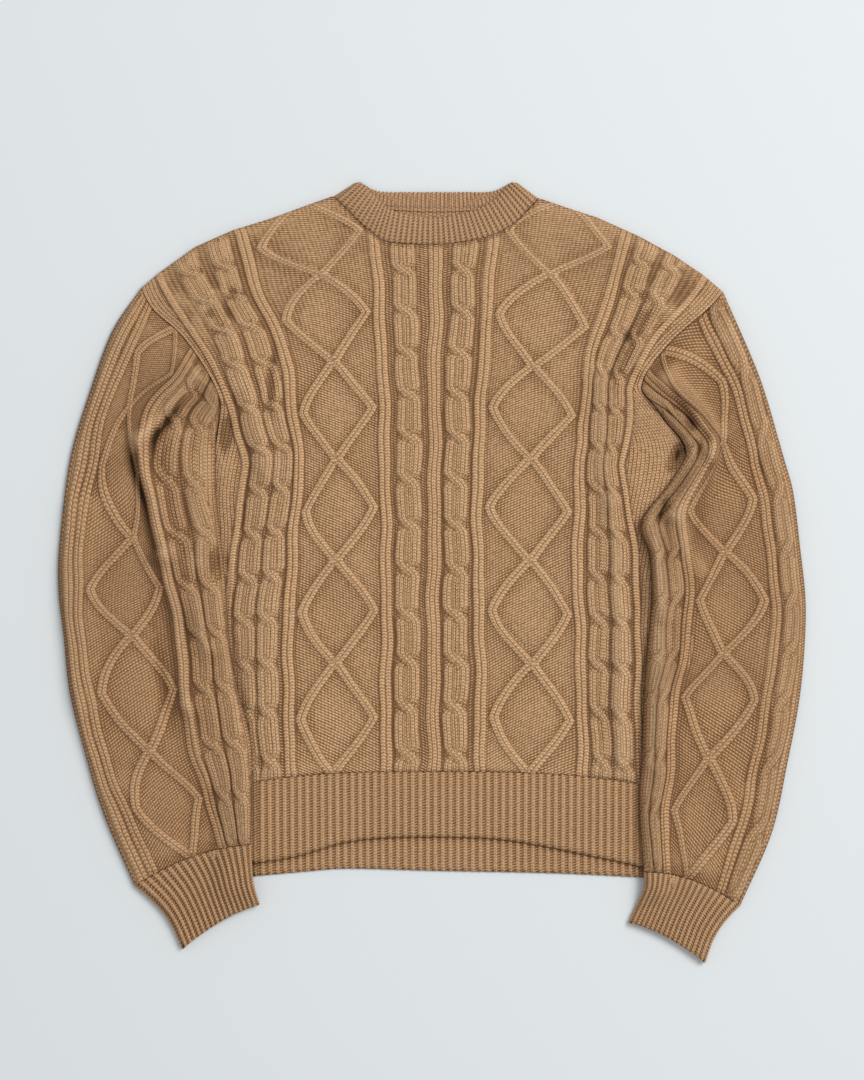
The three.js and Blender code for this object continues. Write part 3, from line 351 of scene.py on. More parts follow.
# Height, stitch place and kind of stitch for points across a row of bands
def stitchForm(bands, places, at, x, turns):
    height = np.zeros_like(x)
    knit = np.zeros_like(x)
    nearest = np.full_like(x, farOff)
    stitch = np.zeros_like(x)
    widths = [band[2] for band in bands]
    halves = []
    for k, half in enumerate(widths):
        before = places[k] - places[k - 1] if k > 0 else np.full_like(x, farOff)
        after = places[k + 1] - places[k] if k < len(bands) - 1 else np.full_like(x, farOff)
        shareBefore = relief["roomShare"] * half / max(half + widths[max(k - 1, 0)], 1)
        shareAfter = relief["roomShare"] * half / max(half + widths[min(k + 1, len(bands) - 1)], 1)
        halves.append((np.minimum(half, shareBefore * before), np.minimum(half, shareAfter * after)))
    opening = 2 * np.abs(at - np.round(at))
    phase = turns - np.round(turns)
    over = relief["strandPlace"] * (1 - 2 * ease(-relief["cableTurn"], relief["cableTurn"], phase))
    crossNow = np.maximum(0, 1 - np.abs(phase) / relief["cableTurn"])

    # Points beside a band keep counting its columns, so that the stitches run on evenly under its edge
    def lay(rise, away, place):
        higher = (away < 1) & (rise > height)
        height[higher] = rise[higher]
        knit[higher] = 1
        counted = higher | ((knit == 0) & (away < nearest))
        stitch[counted] = place[counted]
        nearest[counted] = away[counted]

    # Beside both edges there is plain knitting, whose columns count as far as the first band
    for edge, beside, direction in ((0, 1, 1), (-1, -2, -1)):
        offset = direction * (x - places[edge])
        reach = direction * (places[beside] - places[edge]) - halves[beside][0 if direction > 0 else 1]
        column = offset / cloth["stitch"]
        rise = relief["plain"][0] + relief["plain"][1] * np.abs(np.sin(np.pi * column))
        lay(rise, np.maximum(offset / np.maximum(reach, 0.1), 0), column)

    for k, band in enumerate(bands):
        kind, count = band[1], band[3]
        offset = x - places[k]
        side = np.where(offset < 0, halves[k][0], halves[k][1])
        if kind == "rib":
            t = offset / np.maximum(side, 0.1)
            rise = relief["ribRise"] * (1 - ease(*relief["ribShoulder"], np.abs(t)))
            lay(rise * furrows(relief["ribFurrow"], count * (t + 1) / 2),
                np.abs(t) / relief["ribShoulder"][1], t * count / 2 + 0.5 * (count % 2))
        if kind == "cable":
            t = offset / np.maximum(side, 0.1) / (1 - 0.1 * crossNow)
            # Between crossings the strands are one flat leaf of six columns; at one the upper strand is wider
            leaf = np.sqrt(np.maximum(0, 1 - t**4)) * (relief["leaf"] - relief["leafSinks"] * crossNow)
            lay(relief["cableRise"] * leaf * furrows(relief["cableFurrow"], 3 * t), np.abs(t), t * 3)
            strands = (
                (over, 0, relief["crossWider"], relief["crossHigher"]),
                (-over, relief["crossDip"], 0, 0),
            )
            for place, dip, wider, higher in strands:
                s = (t - place) / (relief["strandRadius"] * (1 + wider * crossNow))
                rise = np.sqrt(np.maximum(0, 1 - s**4)) * (1 - dip * crossNow)
                rise = rise * furrows(relief["cableFurrow"], 1.5 * (s + 1)) * (0.92 + higher * crossNow)
                lay(relief["cableRise"] * rise, np.abs(s), s * 1.5 + 0.5)
        if kind == "diamond":
            leftRoom = places[k] - places[k - 1] - halves[k - 1][1]
            rightRoom = places[k + 1] - halves[k + 1][0] - places[k]
            leftRound, rightRound = relief["diamondRound"]
            for direction, room, roundness in ((-1, leftRoom, leftRound), (1, rightRoom, rightRound)):
                opened = mix(opening, np.sin(opening * np.pi / 2), roundness)
                ridge = direction * room * mix(*relief["diamondReach"], opened)
                cordHalf = np.minimum(relief["cordHalf"], relief["cordShare"] * room)
                t = (offset - ridge) / (cordHalf * (1 + 0.2 * (1 - opening)))
                rise = relief["diamondRise"] * (1 - ease(*relief["cordShoulder"], np.abs(t)))
                lay(rise * furrows(relief["cordFurrow"], t + 1), np.abs(t) / 1.1, t)
    return height, knit, stitch


def bodyLines(at):
    left = [along(leftHalf, band[0], at) for band in bodyBands]
    right = [along(rightHalf, band[0], at) for band in bodyBands][::-1]
    return left + [along(bodyRows, "centre", at)] + right


def bodyY(x, at):
    edge = np.where(x < 0, along(leftHalf, "edge", at), along(rightHalf, "edge", at))
    drop = np.where(x < 0, along(leftHalf, "drop", at), along(rightHalf, "drop", at))
    return along(bodyRows, "y", at) - drop * np.abs(x / edge)**along(bodyRows, "bow", at)


def sideY(half, at):
    return bodyY(along(half, "edge", at), at)


def bodyEdgeX(half, y):
    at = crossing(lambda place: y - sideY(half, place), np.zeros_like(y), np.full_like(y, underarmAt))
    return along(half, "edge", at)


def panelTop(neck, x):
    at = crossing(lambda place: x - along(neck, "seamX", place), np.zeros_like(x), np.ones_like(x))
    onNeck = along(neck, "seamY", at)
    left = np.interp(x, shoulderLeft["at"], shoulderLeft["y"])
    right = np.interp(x, shoulderRight["at"], shoulderRight["y"])
    return np.where(x <= neck["seamX"][0], left, np.where(x >= neck["seamX"][-1], right, onNeck))


# 1 on the body in view, 0 under a sleeve
def inView(x, y):
    shown = np.ones_like(x)
    for rows, side in ((sleeveLeft, -1), (sleeveRight, 1)):
        low, high = np.zeros_like(y), np.full_like(y, rows["at"][-1])
        inner = along(rows, "innerX", crossing(lambda at: y - along(rows, "innerY", at), low, high))
        here = (x * side > 0) & (y <= rows["innerY"][-1])
        shown = np.where(here, ease(-1, 9, np.abs(inner) - np.abs(x)), shown)
    return shown


# A sleeve climbs onto the body over its ramp, and comes down again toward the cuff's end and the armpit
drape = {"aboveFront": 1.1, "ramp": (-22, -2), "cuffEnd": (-320, -295), "armpit": (35, 8)}


# Height of a sleeve's or cuff's underside: on the floor outside the body, over its side where it covers it
def underSleeve(half, x, y):
    side = -1 if half is leftHalf else 1
    underarm = sideY(half, underarmAt)
    beside = ease(*drape["ramp"], side * (bodyEdgeX(half, y) - x))
    nearArmpit = ease(underarm - drape["armpit"][0], underarm - drape["armpit"][1], y)
    return (frontFace + drape["aboveFront"]) * beside * ease(*drape["cuffEnd"], y) * (1 - nearArmpit)


# Places across a row, finer on the raised bands, as (line, share of the way to the next line)
def fineColumns(bands, places, fine, coarse):
    columns = []
    for k in range(len(bands) - 1):
        low, high = places[k], places[k + 1]
        spots = [low]
        while spots[-1] < high - 0.5 * coarse:
            nearLow = spots[-1] - low < bands[k][2] + 1 and bands[k][1] != "diamond"
            nearHigh = high - spots[-1] < bands[k + 1][2] + 1.5 and bands[k + 1][1] != "diamond"
            spots.append(spots[-1] + (fine if nearLow or nearHigh else coarse))
        scale = (high - low) / (spots[-1] - low)
        columns += [(k, (spot - low) * scale / (high - low)) for spot in spots[:-1]]
    return columns + [(len(bands) - 2, 1.0)]


# The columns' places from those of the lines
def spread(columns, lines):
    x = np.empty_like(lines[0])
    for k in range(len(lines) - 1):
        picked = [c for c, column in enumerate(columns) if column[0] == k]
        shares = np.array([columns[c][1] for c in picked])
        x[..., picked] = mix(lines[k][..., picked], lines[k + 1][..., picked], shares)
    return x


# Every few places of a row or column, and its last one
def everyFew(count, step):
    return list(range(0, count - 1, step)) + [count - 1]


def fromSides(x):
    return np.minimum(x - x[:, :1], x[:, -1:] - x)


# A tube's upper and lower face, one after the other round it; the two share their first and last columns
def roundTube(upper, lower):
    return np.concatenate([upper, lower[:, -2:0:-1]], axis=1)


# Stitch places of plain knitting, for what doesn't show
def plainStitches(x, y):
    return x / cloth["stitch"], y / cloth["row"], np.ones_like(x), np.zeros_like(x), x, y


# Lowest height round each picked point, so that an inner face stays under the outer one
def lowestAround(grid, rows, columns, rowReach, columnReach):
    low = np.empty((len(rows), len(columns)))
    for i, r in enumerate(rows):
        band = grid[max(0, r - rowReach):r + rowReach + 1].min(axis=0)
        for j, c in enumerate(columns):
            low[i, j] = band[max(0, c - columnReach):c + columnReach + 1].min()
    return low


# A closed wall of a fine outer face, a plainer inner face under some of its points, and rims between the two.
# Rows run along, columns across; a tube's columns run round. Each face is (x, y, z) grids in millimetres.
def clothWall(name, outer, inner, innerRows, innerColumns, closed, stitches, material):
    grids = [np.stack(np.broadcast_arrays(*face), axis=-1) for face in (outer, inner)]
    rows, columns = grids[0].shape[:2]
    points = np.concatenate([grid.reshape(-1, 3) for grid in grids])
    outerIds = np.arange(rows * columns).reshape(rows, columns)
    innerIds = rows * columns + np.arange(len(innerRows) * len(innerColumns)).reshape(len(innerRows), -1)

    def quads(ids, flip):
        if closed:
            ids = np.concatenate([ids, ids[:, :1]], axis=1)
        corners = [ids[:-1, :-1], ids[:-1, 1:], ids[1:, 1:], ids[1:, :-1]]
        return np.stack(corners[::-1] if flip else corners, axis=-1).reshape(-1, 4)

    triangles = []

    def rim(outside, outPlaces, inside, inPlaces):
        i = j = 0
        while i < len(outside) - 1 or j < len(inside) - 1:
            nextOut = outPlaces[i + 1] if i < len(outside) - 1 else farOff
            nextIn = inPlaces[j + 1] if j < len(inside) - 1 else farOff
            if nextOut <= nextIn:
                triangles.append((outside[i + 1], outside[i], inside[j]))
                i += 1
            else:
                triangles.append((inside[j], inside[j + 1], outside[i]))
                j += 1

    def rowChain(ids, r, places, count):
        chain, spots = list(ids[r]), list(places)
        return (chain + [chain[0]], spots + [count]) if closed else (chain, spots)

    def backward(chain, places):
        return chain[::-1], [-place for place in places[::-1]]

    allColumns, allRows = list(range(columns)), list(range(rows))
    rim(*rowChain(outerIds, 0, allColumns, columns), *rowChain(innerIds, 0, innerColumns, columns))
    rim(*backward(*rowChain(outerIds, rows - 1, allColumns, columns)),
        *backward(*rowChain(innerIds, len(innerRows) - 1, innerColumns, columns)))
    if not closed:
        rim(list(outerIds[:, -1]), allRows, list(innerIds[:, -1]), innerRows)
        rim(*backward(list(outerIds[:, 0]), allRows), *backward(list(innerIds[:, 0]), innerRows))

    quadFaces = np.concatenate([quads(outerIds, False), quads(innerIds, True)])
    a, b, c, d = (points[quadFaces[:, k]] for k in range(4))
    volume = np.einsum("ij,ij->", a, np.cross(b, c)) + np.einsum("ij,ij->", a, np.cross(c, d))
    if volume < 0:
        quadFaces = quadFaces[:, ::-1]
        triangles = [face[::-1] for face in triangles]

    places = (points - np.array([cloth["middleX"], cloth["middleY"], 0])) / 1000
    mesh = bpy.data.meshes.new(name)
    corners = np.concatenate([quadFaces.reshape(-1), np.array(triangles).reshape(-1)])
    sizes = np.concatenate([np.full(len(quadFaces), 4), np.full(len(triangles), 3)])
    mesh.vertices.add(len(places))
    mesh.vertices.foreach_set("co", places.reshape(-1))
    mesh.loops.add(len(corners))
    mesh.loops.foreach_set("vertex_index", corners)
    mesh.polygons.add(len(sizes))
    mesh.polygons.foreach_set("loop_start", np.concatenate([[0], np.cumsum(sizes)[:-1]]))
    mesh.polygons.foreach_set("use_smooth", np.ones(len(sizes), bool))
    mesh.update(calc_edges=True)

    # Stitch places go in a UV map, the kind of stitch and the painted shade and highlight in attributes; the
    # inside is plain knitting
    plain = points[rows * columns:]
    stitch, row, knit, shade, groundX, groundRow = (
        np.broadcast_to(values, (rows, columns)).reshape(-1) for values in stitches)
    for word, u, v in (("stitches", stitch, row), ("ground", groundX / cloth["groundStitch"], groundRow)):
        u = np.concatenate([u, plain[:, 0] / cloth["stitch"]])
        v = np.concatenate([v, plain[:, 1] / cloth["row"]])
        pairs = np.stack([u[corners], v[corners]], axis=-1).reshape(-1)
        mesh.uv_layers.new(name=word).data.foreach_set("uv", pairs.astype(np.float32))
    for word, values, rest in (("knit", knit, 1), ("paintedShading", shade, 0)):
        values = np.concatenate([values, np.full(len(plain), rest)])
        mesh.attributes.new(word, "FLOAT", "POINT").data.foreach_set("value", values.astype(np.float32))

    piece = bpy.data.objects.new(name, mesh)
    bpy.context.scene.collection.objects.link(piece)
    mesh.materials.append(material)
    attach(piece, "root")
    print(name, "made,", 2 * len(quadFaces) + len(triangles), "triangles")
    return piece


# How far a place lies below its surroundings, -1 to 1, for the painted shade in the hollows between raised
# stitches and the painted highlight on the crests
def hollows(z, reach, depth):
    around = np.pad(z, reach, mode="edge")
    steps = (0, reach // 2, reach, reach + reach // 2, 2 * reach)
    mean = sum(around[i:i + z.shape[0], j:j + z.shape[1]] for i in steps for j in steps) / len(steps)**2
    return np.clip((mean - z) / depth, -1, 1)


def hollowShade(z, scales):
    return sum(weight * hollows(z, reach, depth) for reach, depth, weight in scales)


class Socket:
    def __init__(self, tree, link):
        self.tree, self.link = tree, link

    # Inputs go by their names, or by number as i0, i1 and so on
    def node(self, kind, settings=None, **inputs):
        made = self.tree.nodes.new(kind)
        for key, value in (settings or {}).items():
            setattr(made, key, value)
        for key, value in inputs.items():
            target = made.inputs[int(key[1:]) if key[1:].isdigit() else key]
            if isinstance(value, Socket):
                self.tree.links.new(value.link, target)
            else:
                target.default_value = value
        return made

    def maths(self, operation, other=None, third=None):
        inputs = {"i0": self}
        if other is not None:
            inputs["i1"] = other
        if third is not None:
            inputs["i2"] = third
        return Socket(self.tree, self.node("ShaderNodeMath", {"operation": operation}, **inputs).outputs[0])

    def __add__(self, other):
        return self.maths("ADD", other)

    __radd__ = __add__

    def __sub__(self, other):
        return self.maths("SUBTRACT", other)

    def __rsub__(self, other):
        return self.maths("MULTIPLY_ADD", -1.0, other)

    def __mul__(self, other):
        return self.maths("MULTIPLY", other)

    __rmul__ = __mul__


# Knitted wool: chains of V stitches where "knit" is 1, staggered bumps where it is 0
def woolMaterial(name, look):
    material = bpy.data.materials.new(name)
    material.use_nodes = True
    tree = material.node_tree
    shader = tree.nodes["Principled BSDF"]
    start = Socket(tree, None)
    fullTurn = 6.28318

    def mapped(word):
        uv = start.node("ShaderNodeUVMap", {"uv_map": word})
        parts = start.node("ShaderNodeSeparateXYZ", i0=Socket(tree, uv.outputs[0]))
        return Socket(tree, parts.outputs[0]), Socket(tree, parts.outputs[1])

    u, v = mapped("stitches")
    groundU, groundV = mapped("ground")
    knit = Socket(tree, start.node("ShaderNodeAttribute", {"attribute_name": "knit"}).outputs["Fac"])
    paintedShading = Socket(tree, start.node("ShaderNodeAttribute", {"attribute_name": "paintedShading"}).outputs["Fac"])
    place = Socket(tree, start.node("ShaderNodeTexCoord").outputs["Object"])

    def noise(scale, detail, roughness=0.6):
        made = start.node("ShaderNodeTexNoise", None, Vector=place, Scale=scale, Detail=detail,
                          Roughness=roughness)
        return Socket(tree, made.outputs[0])

    wobble = (noise(160, 2) - 0.5) * look["wobble"]
    column = (u + wobble).maths("FRACT")
    fromMiddle = (column - 0.5).maths("ABSOLUTE") * 2  # 0 in a column's middle, 1 in the groove beside it
    legs = (1 - fromMiddle.maths("POWER", 4.0)) * (1 - (1 - fromMiddle).maths("POWER", 4.0) * 0.35)
    stagger = (u + wobble).maths("FLOOR") * 0.37  # neighbouring columns are out of step
    slant = ((v + fromMiddle * 0.45 + stagger + wobble) * fullTurn).maths("SINE") * 0.5 + 0.5
    chain = legs * (slant * look["chain"] + 0.93 - look["chain"])
    twill = ((groundV - groundU.maths("ABSOLUTE") * 0.55 + wobble) * fullTurn).maths("COSINE") * 0.5 + 0.5
    across = ((groundU + wobble * 1.5) * fullTurn).maths("COSINE") * 0.5 + 0.5
    bumps = twill * (across * 0.65 + 0.35)
    stitchHeight = chain * knit + bumps * (1 - knit)
    fibre = noise(2600, 3, 0.7)
    strands = noise(900, 2)
    surface = stitchHeight + fibre * look["fibre"] + strands * 0.3

    bump = start.node("ShaderNodeBump", None, Strength=look["bump"], Distance=look["depth"], Height=surface)
    tree.links.new(bump.outputs["Normal"], shader.inputs["Normal"])

    def blend(base, other, factor):
        return Socket(tree, start.node("ShaderNodeMix", {"data_type": "RGBA"}, i0=factor, i6=base,
                                       i7=other).outputs[2])

    mottle = noise(14, 3)
    colour = blend(look["dark"], look["light"], (mottle - 0.5) * 1.1 + 0.5)
    warm = (noise(330, 2) - 0.42).maths("MAXIMUM", 0.0) * look["heather"]
    colour = blend(colour, look["warm"], warm.maths("MINIMUM", 1.0))
    uneven = (noise(420, 2) - 0.5) * 0.9
    # Painted shade toward a dark colour: in the grooves between stitches, mixed with random unevenness and
    # fibre tone, and in the hollows
    between = (0.87 - stitchHeight + knit * 0.15 + uneven) * look["grooves"] + (1 - fibre) * 0.1
    dip = paintedShading.maths("MAXIMUM", 0.0) * look["hollows"]
    colour = blend(colour, look["paintedShadeColour"], (between + dip).maths("MAXIMUM", 0.0).maths("MINIMUM", 0.95))
    # Painted highlight on the stitches' tips and on what stands above its surroundings
    tipHighlight = (stitchHeight - 0.5).maths("MAXIMUM", 0.0) * 0.55
    crest = (paintedShading * -1.0).maths("MAXIMUM", 0.0) * look["crests"] + tipHighlight
    colour = blend(colour, look["paintedHighlightColour"], crest.maths("MINIMUM", 0.8))
    # Painted shadow: where the painted shade is deepest, as inside a fold, it turns near black
    paintedFoldShadow = (paintedShading - 1.25).maths("MAXIMUM", 0.0) * 1.5
    colour = blend(colour, look["fold"], paintedFoldShadow.maths("MINIMUM", 0.9))
    tree.links.new(colour.link, shader.inputs["Base Color"])
    tree.links.new((fibre * 0.12 + 0.84).link, shader.inputs["Roughness"])
    shader.inputs["Specular IOR Level"].default_value = 0.1
    shader.inputs["Sheen Weight"].default_value = look["sheen"]
    shader.inputs["Sheen Roughness"].default_value = 0.5
    shader.inputs["Sheen Tint"].default_value = (1.0, 0.86, 0.7, 1)
    return material


# Colours of the wool: the darkest is painted shade, the blackest a painted shadow deep in folds, the palest a
# painted highlight
wool = {
    "dark": (0.87, 0.520, 0.262, 1), "light": (0.98, 0.63, 0.345, 1), "warm": (0.96, 0.49, 0.27, 1),
    "paintedShadeColour": (0.180, 0.082, 0.032, 1), "paintedHighlightColour": (0.99, 0.72, 0.44, 1), "fold": (0.030, 0.014, 0.006, 1),
    "chain": 0.6, "heather": 0.9, "grooves": 0.9, "hollows": 0.5, "crests": 0.12,
    "bump": 0.9, "depth": 0.0012, "fibre": 0.35, "wobble": 0.2, "sheen": 0.05,
}
# The sleeves, the back, the ribs and the collar wear copies of this wool with darker colours: painted shade
shadedSleeveWool = dict(wool, dark=(0.67, 0.390, 0.190, 1), light=(0.79, 0.480, 0.250, 1))
shadedRibWool = dict(wool, dark=(0.60, 0.350, 0.175, 1), light=(0.70, 0.428, 0.224, 1), hollows=0.75, chain=0.36)
shadedCollarWool = dict(wool, dark=(0.495, 0.292, 0.151, 1), light=(0.585, 0.358, 0.194, 1), grooves=0.64,
                  hollows=0.7, chain=0.36)
camelKnit = woolMaterial("camelKnit", wool)
camelSleeveShaded = woolMaterial("camelSleeveShaded", shadedSleeveWool)
camelRibShaded = woolMaterial("camelRibShaded", shadedRibWool)
camelCollarShaded = woolMaterial("camelCollarShaded", shadedCollarWool)
print("wool mixed")


# Height share of a rounded edge at a distance from it
def rounded(distance, radius):
    inside = np.clip(1 - distance / radius, 0, 1)
    return np.sqrt(np.maximum(0, 1 - inside * inside))


# Plan of a panel: its fine points with their place up the body; the last row follows the outline above
def panelPlan(neck, columns, rowCount, blendAt):
    def xAt(place):
        return spread(columns, bodyLines(place))

    low, high = np.full(len(columns), blendAt), np.full(len(columns), bodyRows["at"][-1])
    tops = crossing(lambda place: panelTop(neck, xAt(place)) - bodyY(xAt(place), place), low, high)
    lowRows = round(rowCount * blendAt / tops.mean())
    rows = [np.full(len(columns), blendAt * r / lowRows) for r in range(lowRows + 1)]
    rows += [mix(blendAt, tops, (r + 1) / (rowCount - lowRows)) for r in range(rowCount - lowRows)]
    at = np.array(rows)
    x = xAt(at)
    y = bodyY(x, at)
    # The neck's two corners are points of the outline
    for corner in (0, -1):
        nearest = np.argmin(np.abs(x[-1] - neck["seamX"][corner]))
        x[-1, nearest], y[-1, nearest] = neck["seamX"][corner], neck["seamY"][corner]
    return x, y, at


front = {
    "fine": 1.35, "coarse": 1.6, "rows": 280,
    "outlineFrom": 4.34,  # from this height up the rows bend toward the outline
    "edgeRadius": 5, "edgeDrop": 2.0,
    "clear": 60,  # so far from an edge, nothing of it is felt
    "innerSteps": (12, 8), "innerReach": (14, 10), "padding": 1.5,
    "deepest": -1.8,  # of a trough
    "hollows": ((4, 2.2, 1), (12, 5, 0.7)),  # reach, depth and weight of the shade between raised stitches
    "linkPitch": 1.05, "linkShade": 0.9,
    "flat": (0.552, 0.565), "area": 0.262,
}


def makeFront():
    layout = bodyLines(np.array(cloth["layoutAt"]))
    columns = fineColumns(allBodyBands, layout, front["fine"], front["coarse"])
    x, y, at = panelPlan(neckFront, columns, front["rows"], front["outlineFrom"])
    turns = (at - relief["bodyCrossingAt"]) * relief["bodyCrossings"]
    shown = inView(x, y)
    raised, knit, stitch = stitchForm(allBodyBands, bodyLines(at), at, x, turns)
    folds, troughs = foldForm(bodyFolds, x, y)
    folds, troughs = folds * shown, troughs * shown
    loose = (waves(x, y) + 0.8) * cloth["waviness"] * shown
    onNeck = (x[-1] >= neckFront["seamX"][0]) & (x[-1] <= neckFront["seamX"][-1])
    neckClear = np.where(onNeck, front["clear"], 0)
    fromTop = neckClear + (y[-1] - y) * 0.93  # the shoulders slope
    fromSide = fromSides(x) + np.where(at > underarmAt, front["clear"], 0)
    edge = rounded(np.minimum(fromTop, fromSide) + 0.4, front["edgeRadius"])
    nearSeam = ease(0, 9, fromTop - neckClear) * ease(0, 5, y - y[0])
    z = frontFace + np.maximum(folds + loose, front["deepest"]) * nearSeam * edge
    z += raised * shown * (0.35 + 0.65 * nearSeam) * edge
    z -= front["edgeDrop"] * (1 - edge) * (at > 0)
    innerRows, innerColumns = (everyFew(count, step) for count, step in zip(x.shape, front["innerSteps"]))
    lowest = lowestAround(z, innerRows, innerColumns, *front["innerReach"])
    x = x + drift(x, y) * ease(0, 12, fromSides(x)) * ease(0, 12, fromTop) * ease(0, 12, y - y[0])
    picked = np.ix_(innerRows, innerColumns)
    inner = (x[picked], y[picked], np.maximum(frontUnderside, lowest - wall - front["padding"]))
    # The neckband is linked on with a line of small gaps, painted as spots of shade
    belowNeck = np.where(onNeck, y[-1] - y, front["clear"])
    links = np.exp(-((belowNeck - 1.5) / 2)**2) * (0.5 + 0.5 * np.sin(x * front["linkPitch"]))
    # Painted shade in hollows, fold troughs and the neckband's links
    shade = hollowShade(z, front["hollows"]) + troughs + front["linkShade"] * links
    groundX = spread(columns, bodyLines(np.full(len(columns), cloth["layoutAt"])))
    stitches = (stitch, at * cloth["rowsPerDiamond"], knit, shade, groundX, at * cloth["groundRows"])
    piece = clothWall("frontPanel", (x, y, z), inner, innerRows, innerColumns, False, stitches,
                      camelKnit)
    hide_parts("front")
    return x, y, at


frontX, frontY, frontAt = makeFront()

back = {
    "fine": 6, "coarse": 8, "rows": 80,
    "sideDrop": 0.9, "sunk": 0.3,
    "flat": (0.552, 0.575), "area": 0.262,
}


def makeBack():
    layout = bodyLines(np.array(cloth["layoutAt"]))
    columns = fineColumns(allBodyBands, layout, back["fine"], back["coarse"])
    x, y, at = panelPlan(neckBack, columns, back["rows"], front["outlineFrom"])
    side = fromSides(x) < 0.01
    z = wall - back["sideDrop"] * (side & (at <= underarmAt)) - back["sunk"]
    allRows, allColumns = (list(range(count)) for count in x.shape)
    piece = clothWall("backPanel", (x, y, z), (x, y, np.zeros_like(x)), allRows, allColumns, False,
                      plainStitches(x, y), camelSleeveShaded)
    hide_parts("back")
    return x, y


backX, backY = makeBack()


# A polyline's points and directions at shares of its length
def walk(lineX, lineY, shares):
    lengths = np.concatenate([[0], np.cumsum(np.hypot(np.diff(lineX), np.diff(lineY)))])
    lengths /= lengths[-1]
    x, y = np.interp(shares, lengths, lineX), np.interp(shares, lengths, lineY)
    step = 0.004
    dx = np.interp(shares + step, lengths, lineX) - np.interp(shares - step, lengths, lineX)
    dy = np.interp(shares + step, lengths, lineY) - np.interp(shares - step, lengths, lineY)
    length = np.hypot(dx, dy)
    return x, y, dx / length, dy / length


# Single ribs: a rounded crest for each knit column and a gutter of bumps between
def ribWave(count, share):
    return np.abs(np.cos(np.pi * count * share))**1.5


hem = {
    "ribs": 56, "perRib": 7, "rise": 1.9, "rowsFront": 30, "rowsBack": 26,
    "edgeRadius": 2.5, "edgeDrop": 0.8, "seamGap": 0.06, "scallop": 1.1, "bulge": 0.8, "height": 60,
    "bumpRow": 2.6,
    "shadeReach": 3.5,  # of the front hem on the back one
    "flatFront": (0.42, 0.075), "flatBack": (0.42, 0.1),
}


def makeHem(name, node, panelX, panelY, lowerEdge, underside, sunk, rows):
    count = hem["ribs"] * hem["perRib"]
    share = np.linspace(0, 1, count + 1)
    topX, topY = walk(panelX[0], panelY[0], share)[:2]
    lowX = mix(leftHalf["edge"][0], rightHalf["edge"][0], share)
    lowY = along(lowerEdge, "y", lowX)
    down = np.maximum(np.linspace(0, 1, rows + 1)[:, None], hem["seamGap"] / (topY - lowY))
    x, y = mix(topX, lowX, down), mix(topY, lowY, down)
    y = y - hem["scallop"] * ribWave(hem["ribs"], share) * ease(0.97, 1, down)
    shown = inView(x, y)
    ribs = ribWave(hem["ribs"], np.broadcast_to(share, x.shape)) * shown
    edge = rounded(np.minimum(y - lowY, fromSides(x)) + 0.3, hem["edgeRadius"])
    bulge = np.sin(np.pi * np.clip((topY - y) / hem["height"], 0, 1)) * hem["bulge"] * shown
    rise, face = hem["rise"], underside + wall
    z = face + (ribs * rise - rise) if sunk else face + ribs * rise + bulge
    z = z * edge + (1 - edge) * (face - hem["edgeDrop"])
    z = np.minimum(z, face) if sunk else z
    innerRows, innerColumns = everyFew(rows + 1, 6), everyFew(count + 1, 2 * hem["perRib"])
    picked = np.ix_(innerRows, innerColumns)
    inner = (x[picked], y[picked], np.full((len(innerRows), len(innerColumns)), underside))
    knit = ease(0.3, 0.7, ribs)
    # Painted shade in the gutters between ribs
    shade = (0.45 - ribs) * 0.9 * shown
    if sunk:  # the front hem's edge shades it
        shade = shade + np.exp(-(np.maximum(0, along(hemFrontEdge, "y", x) - y) / hem["shadeReach"])**2)
    ribPlace = np.broadcast_to(share * hem["ribs"] + 0.5, x.shape)
    groundX = ribPlace * 2 * cloth["groundStitch"]
    stitches = (ribPlace, y / cloth["row"], knit, shade, groundX, y / hem["bumpRow"])
    piece = clothWall(name, (x, y, z), inner, innerRows, innerColumns, False, stitches, camelRibShaded)
    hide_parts(node)


makeHem("hemRibBack", "hem_back", backX, backY, hemBackEdge, 0, True, hem["rowsBack"])
makeHem("hemRibFront", "hem_front", frontX, frontY, hemFrontEdge, frontUnderside, False, hem["rowsFront"])


# A sleeve's or cuff's cross line, with its bow toward the collar in the middle
def crossPoint(rows, at, share):
    fromX, fromY = along(rows, "outerX", at), along(rows, "outerY", at)
    toX, toY = along(rows, "innerX", at), along(rows, "innerY", at)
    bow = along(rows, "bow", at) * 4 * share * (1 - share)
    return mix(fromX, toX, share), mix(fromY, toY, share) + bow, np.hypot(toX - fromX, toY - fromY)


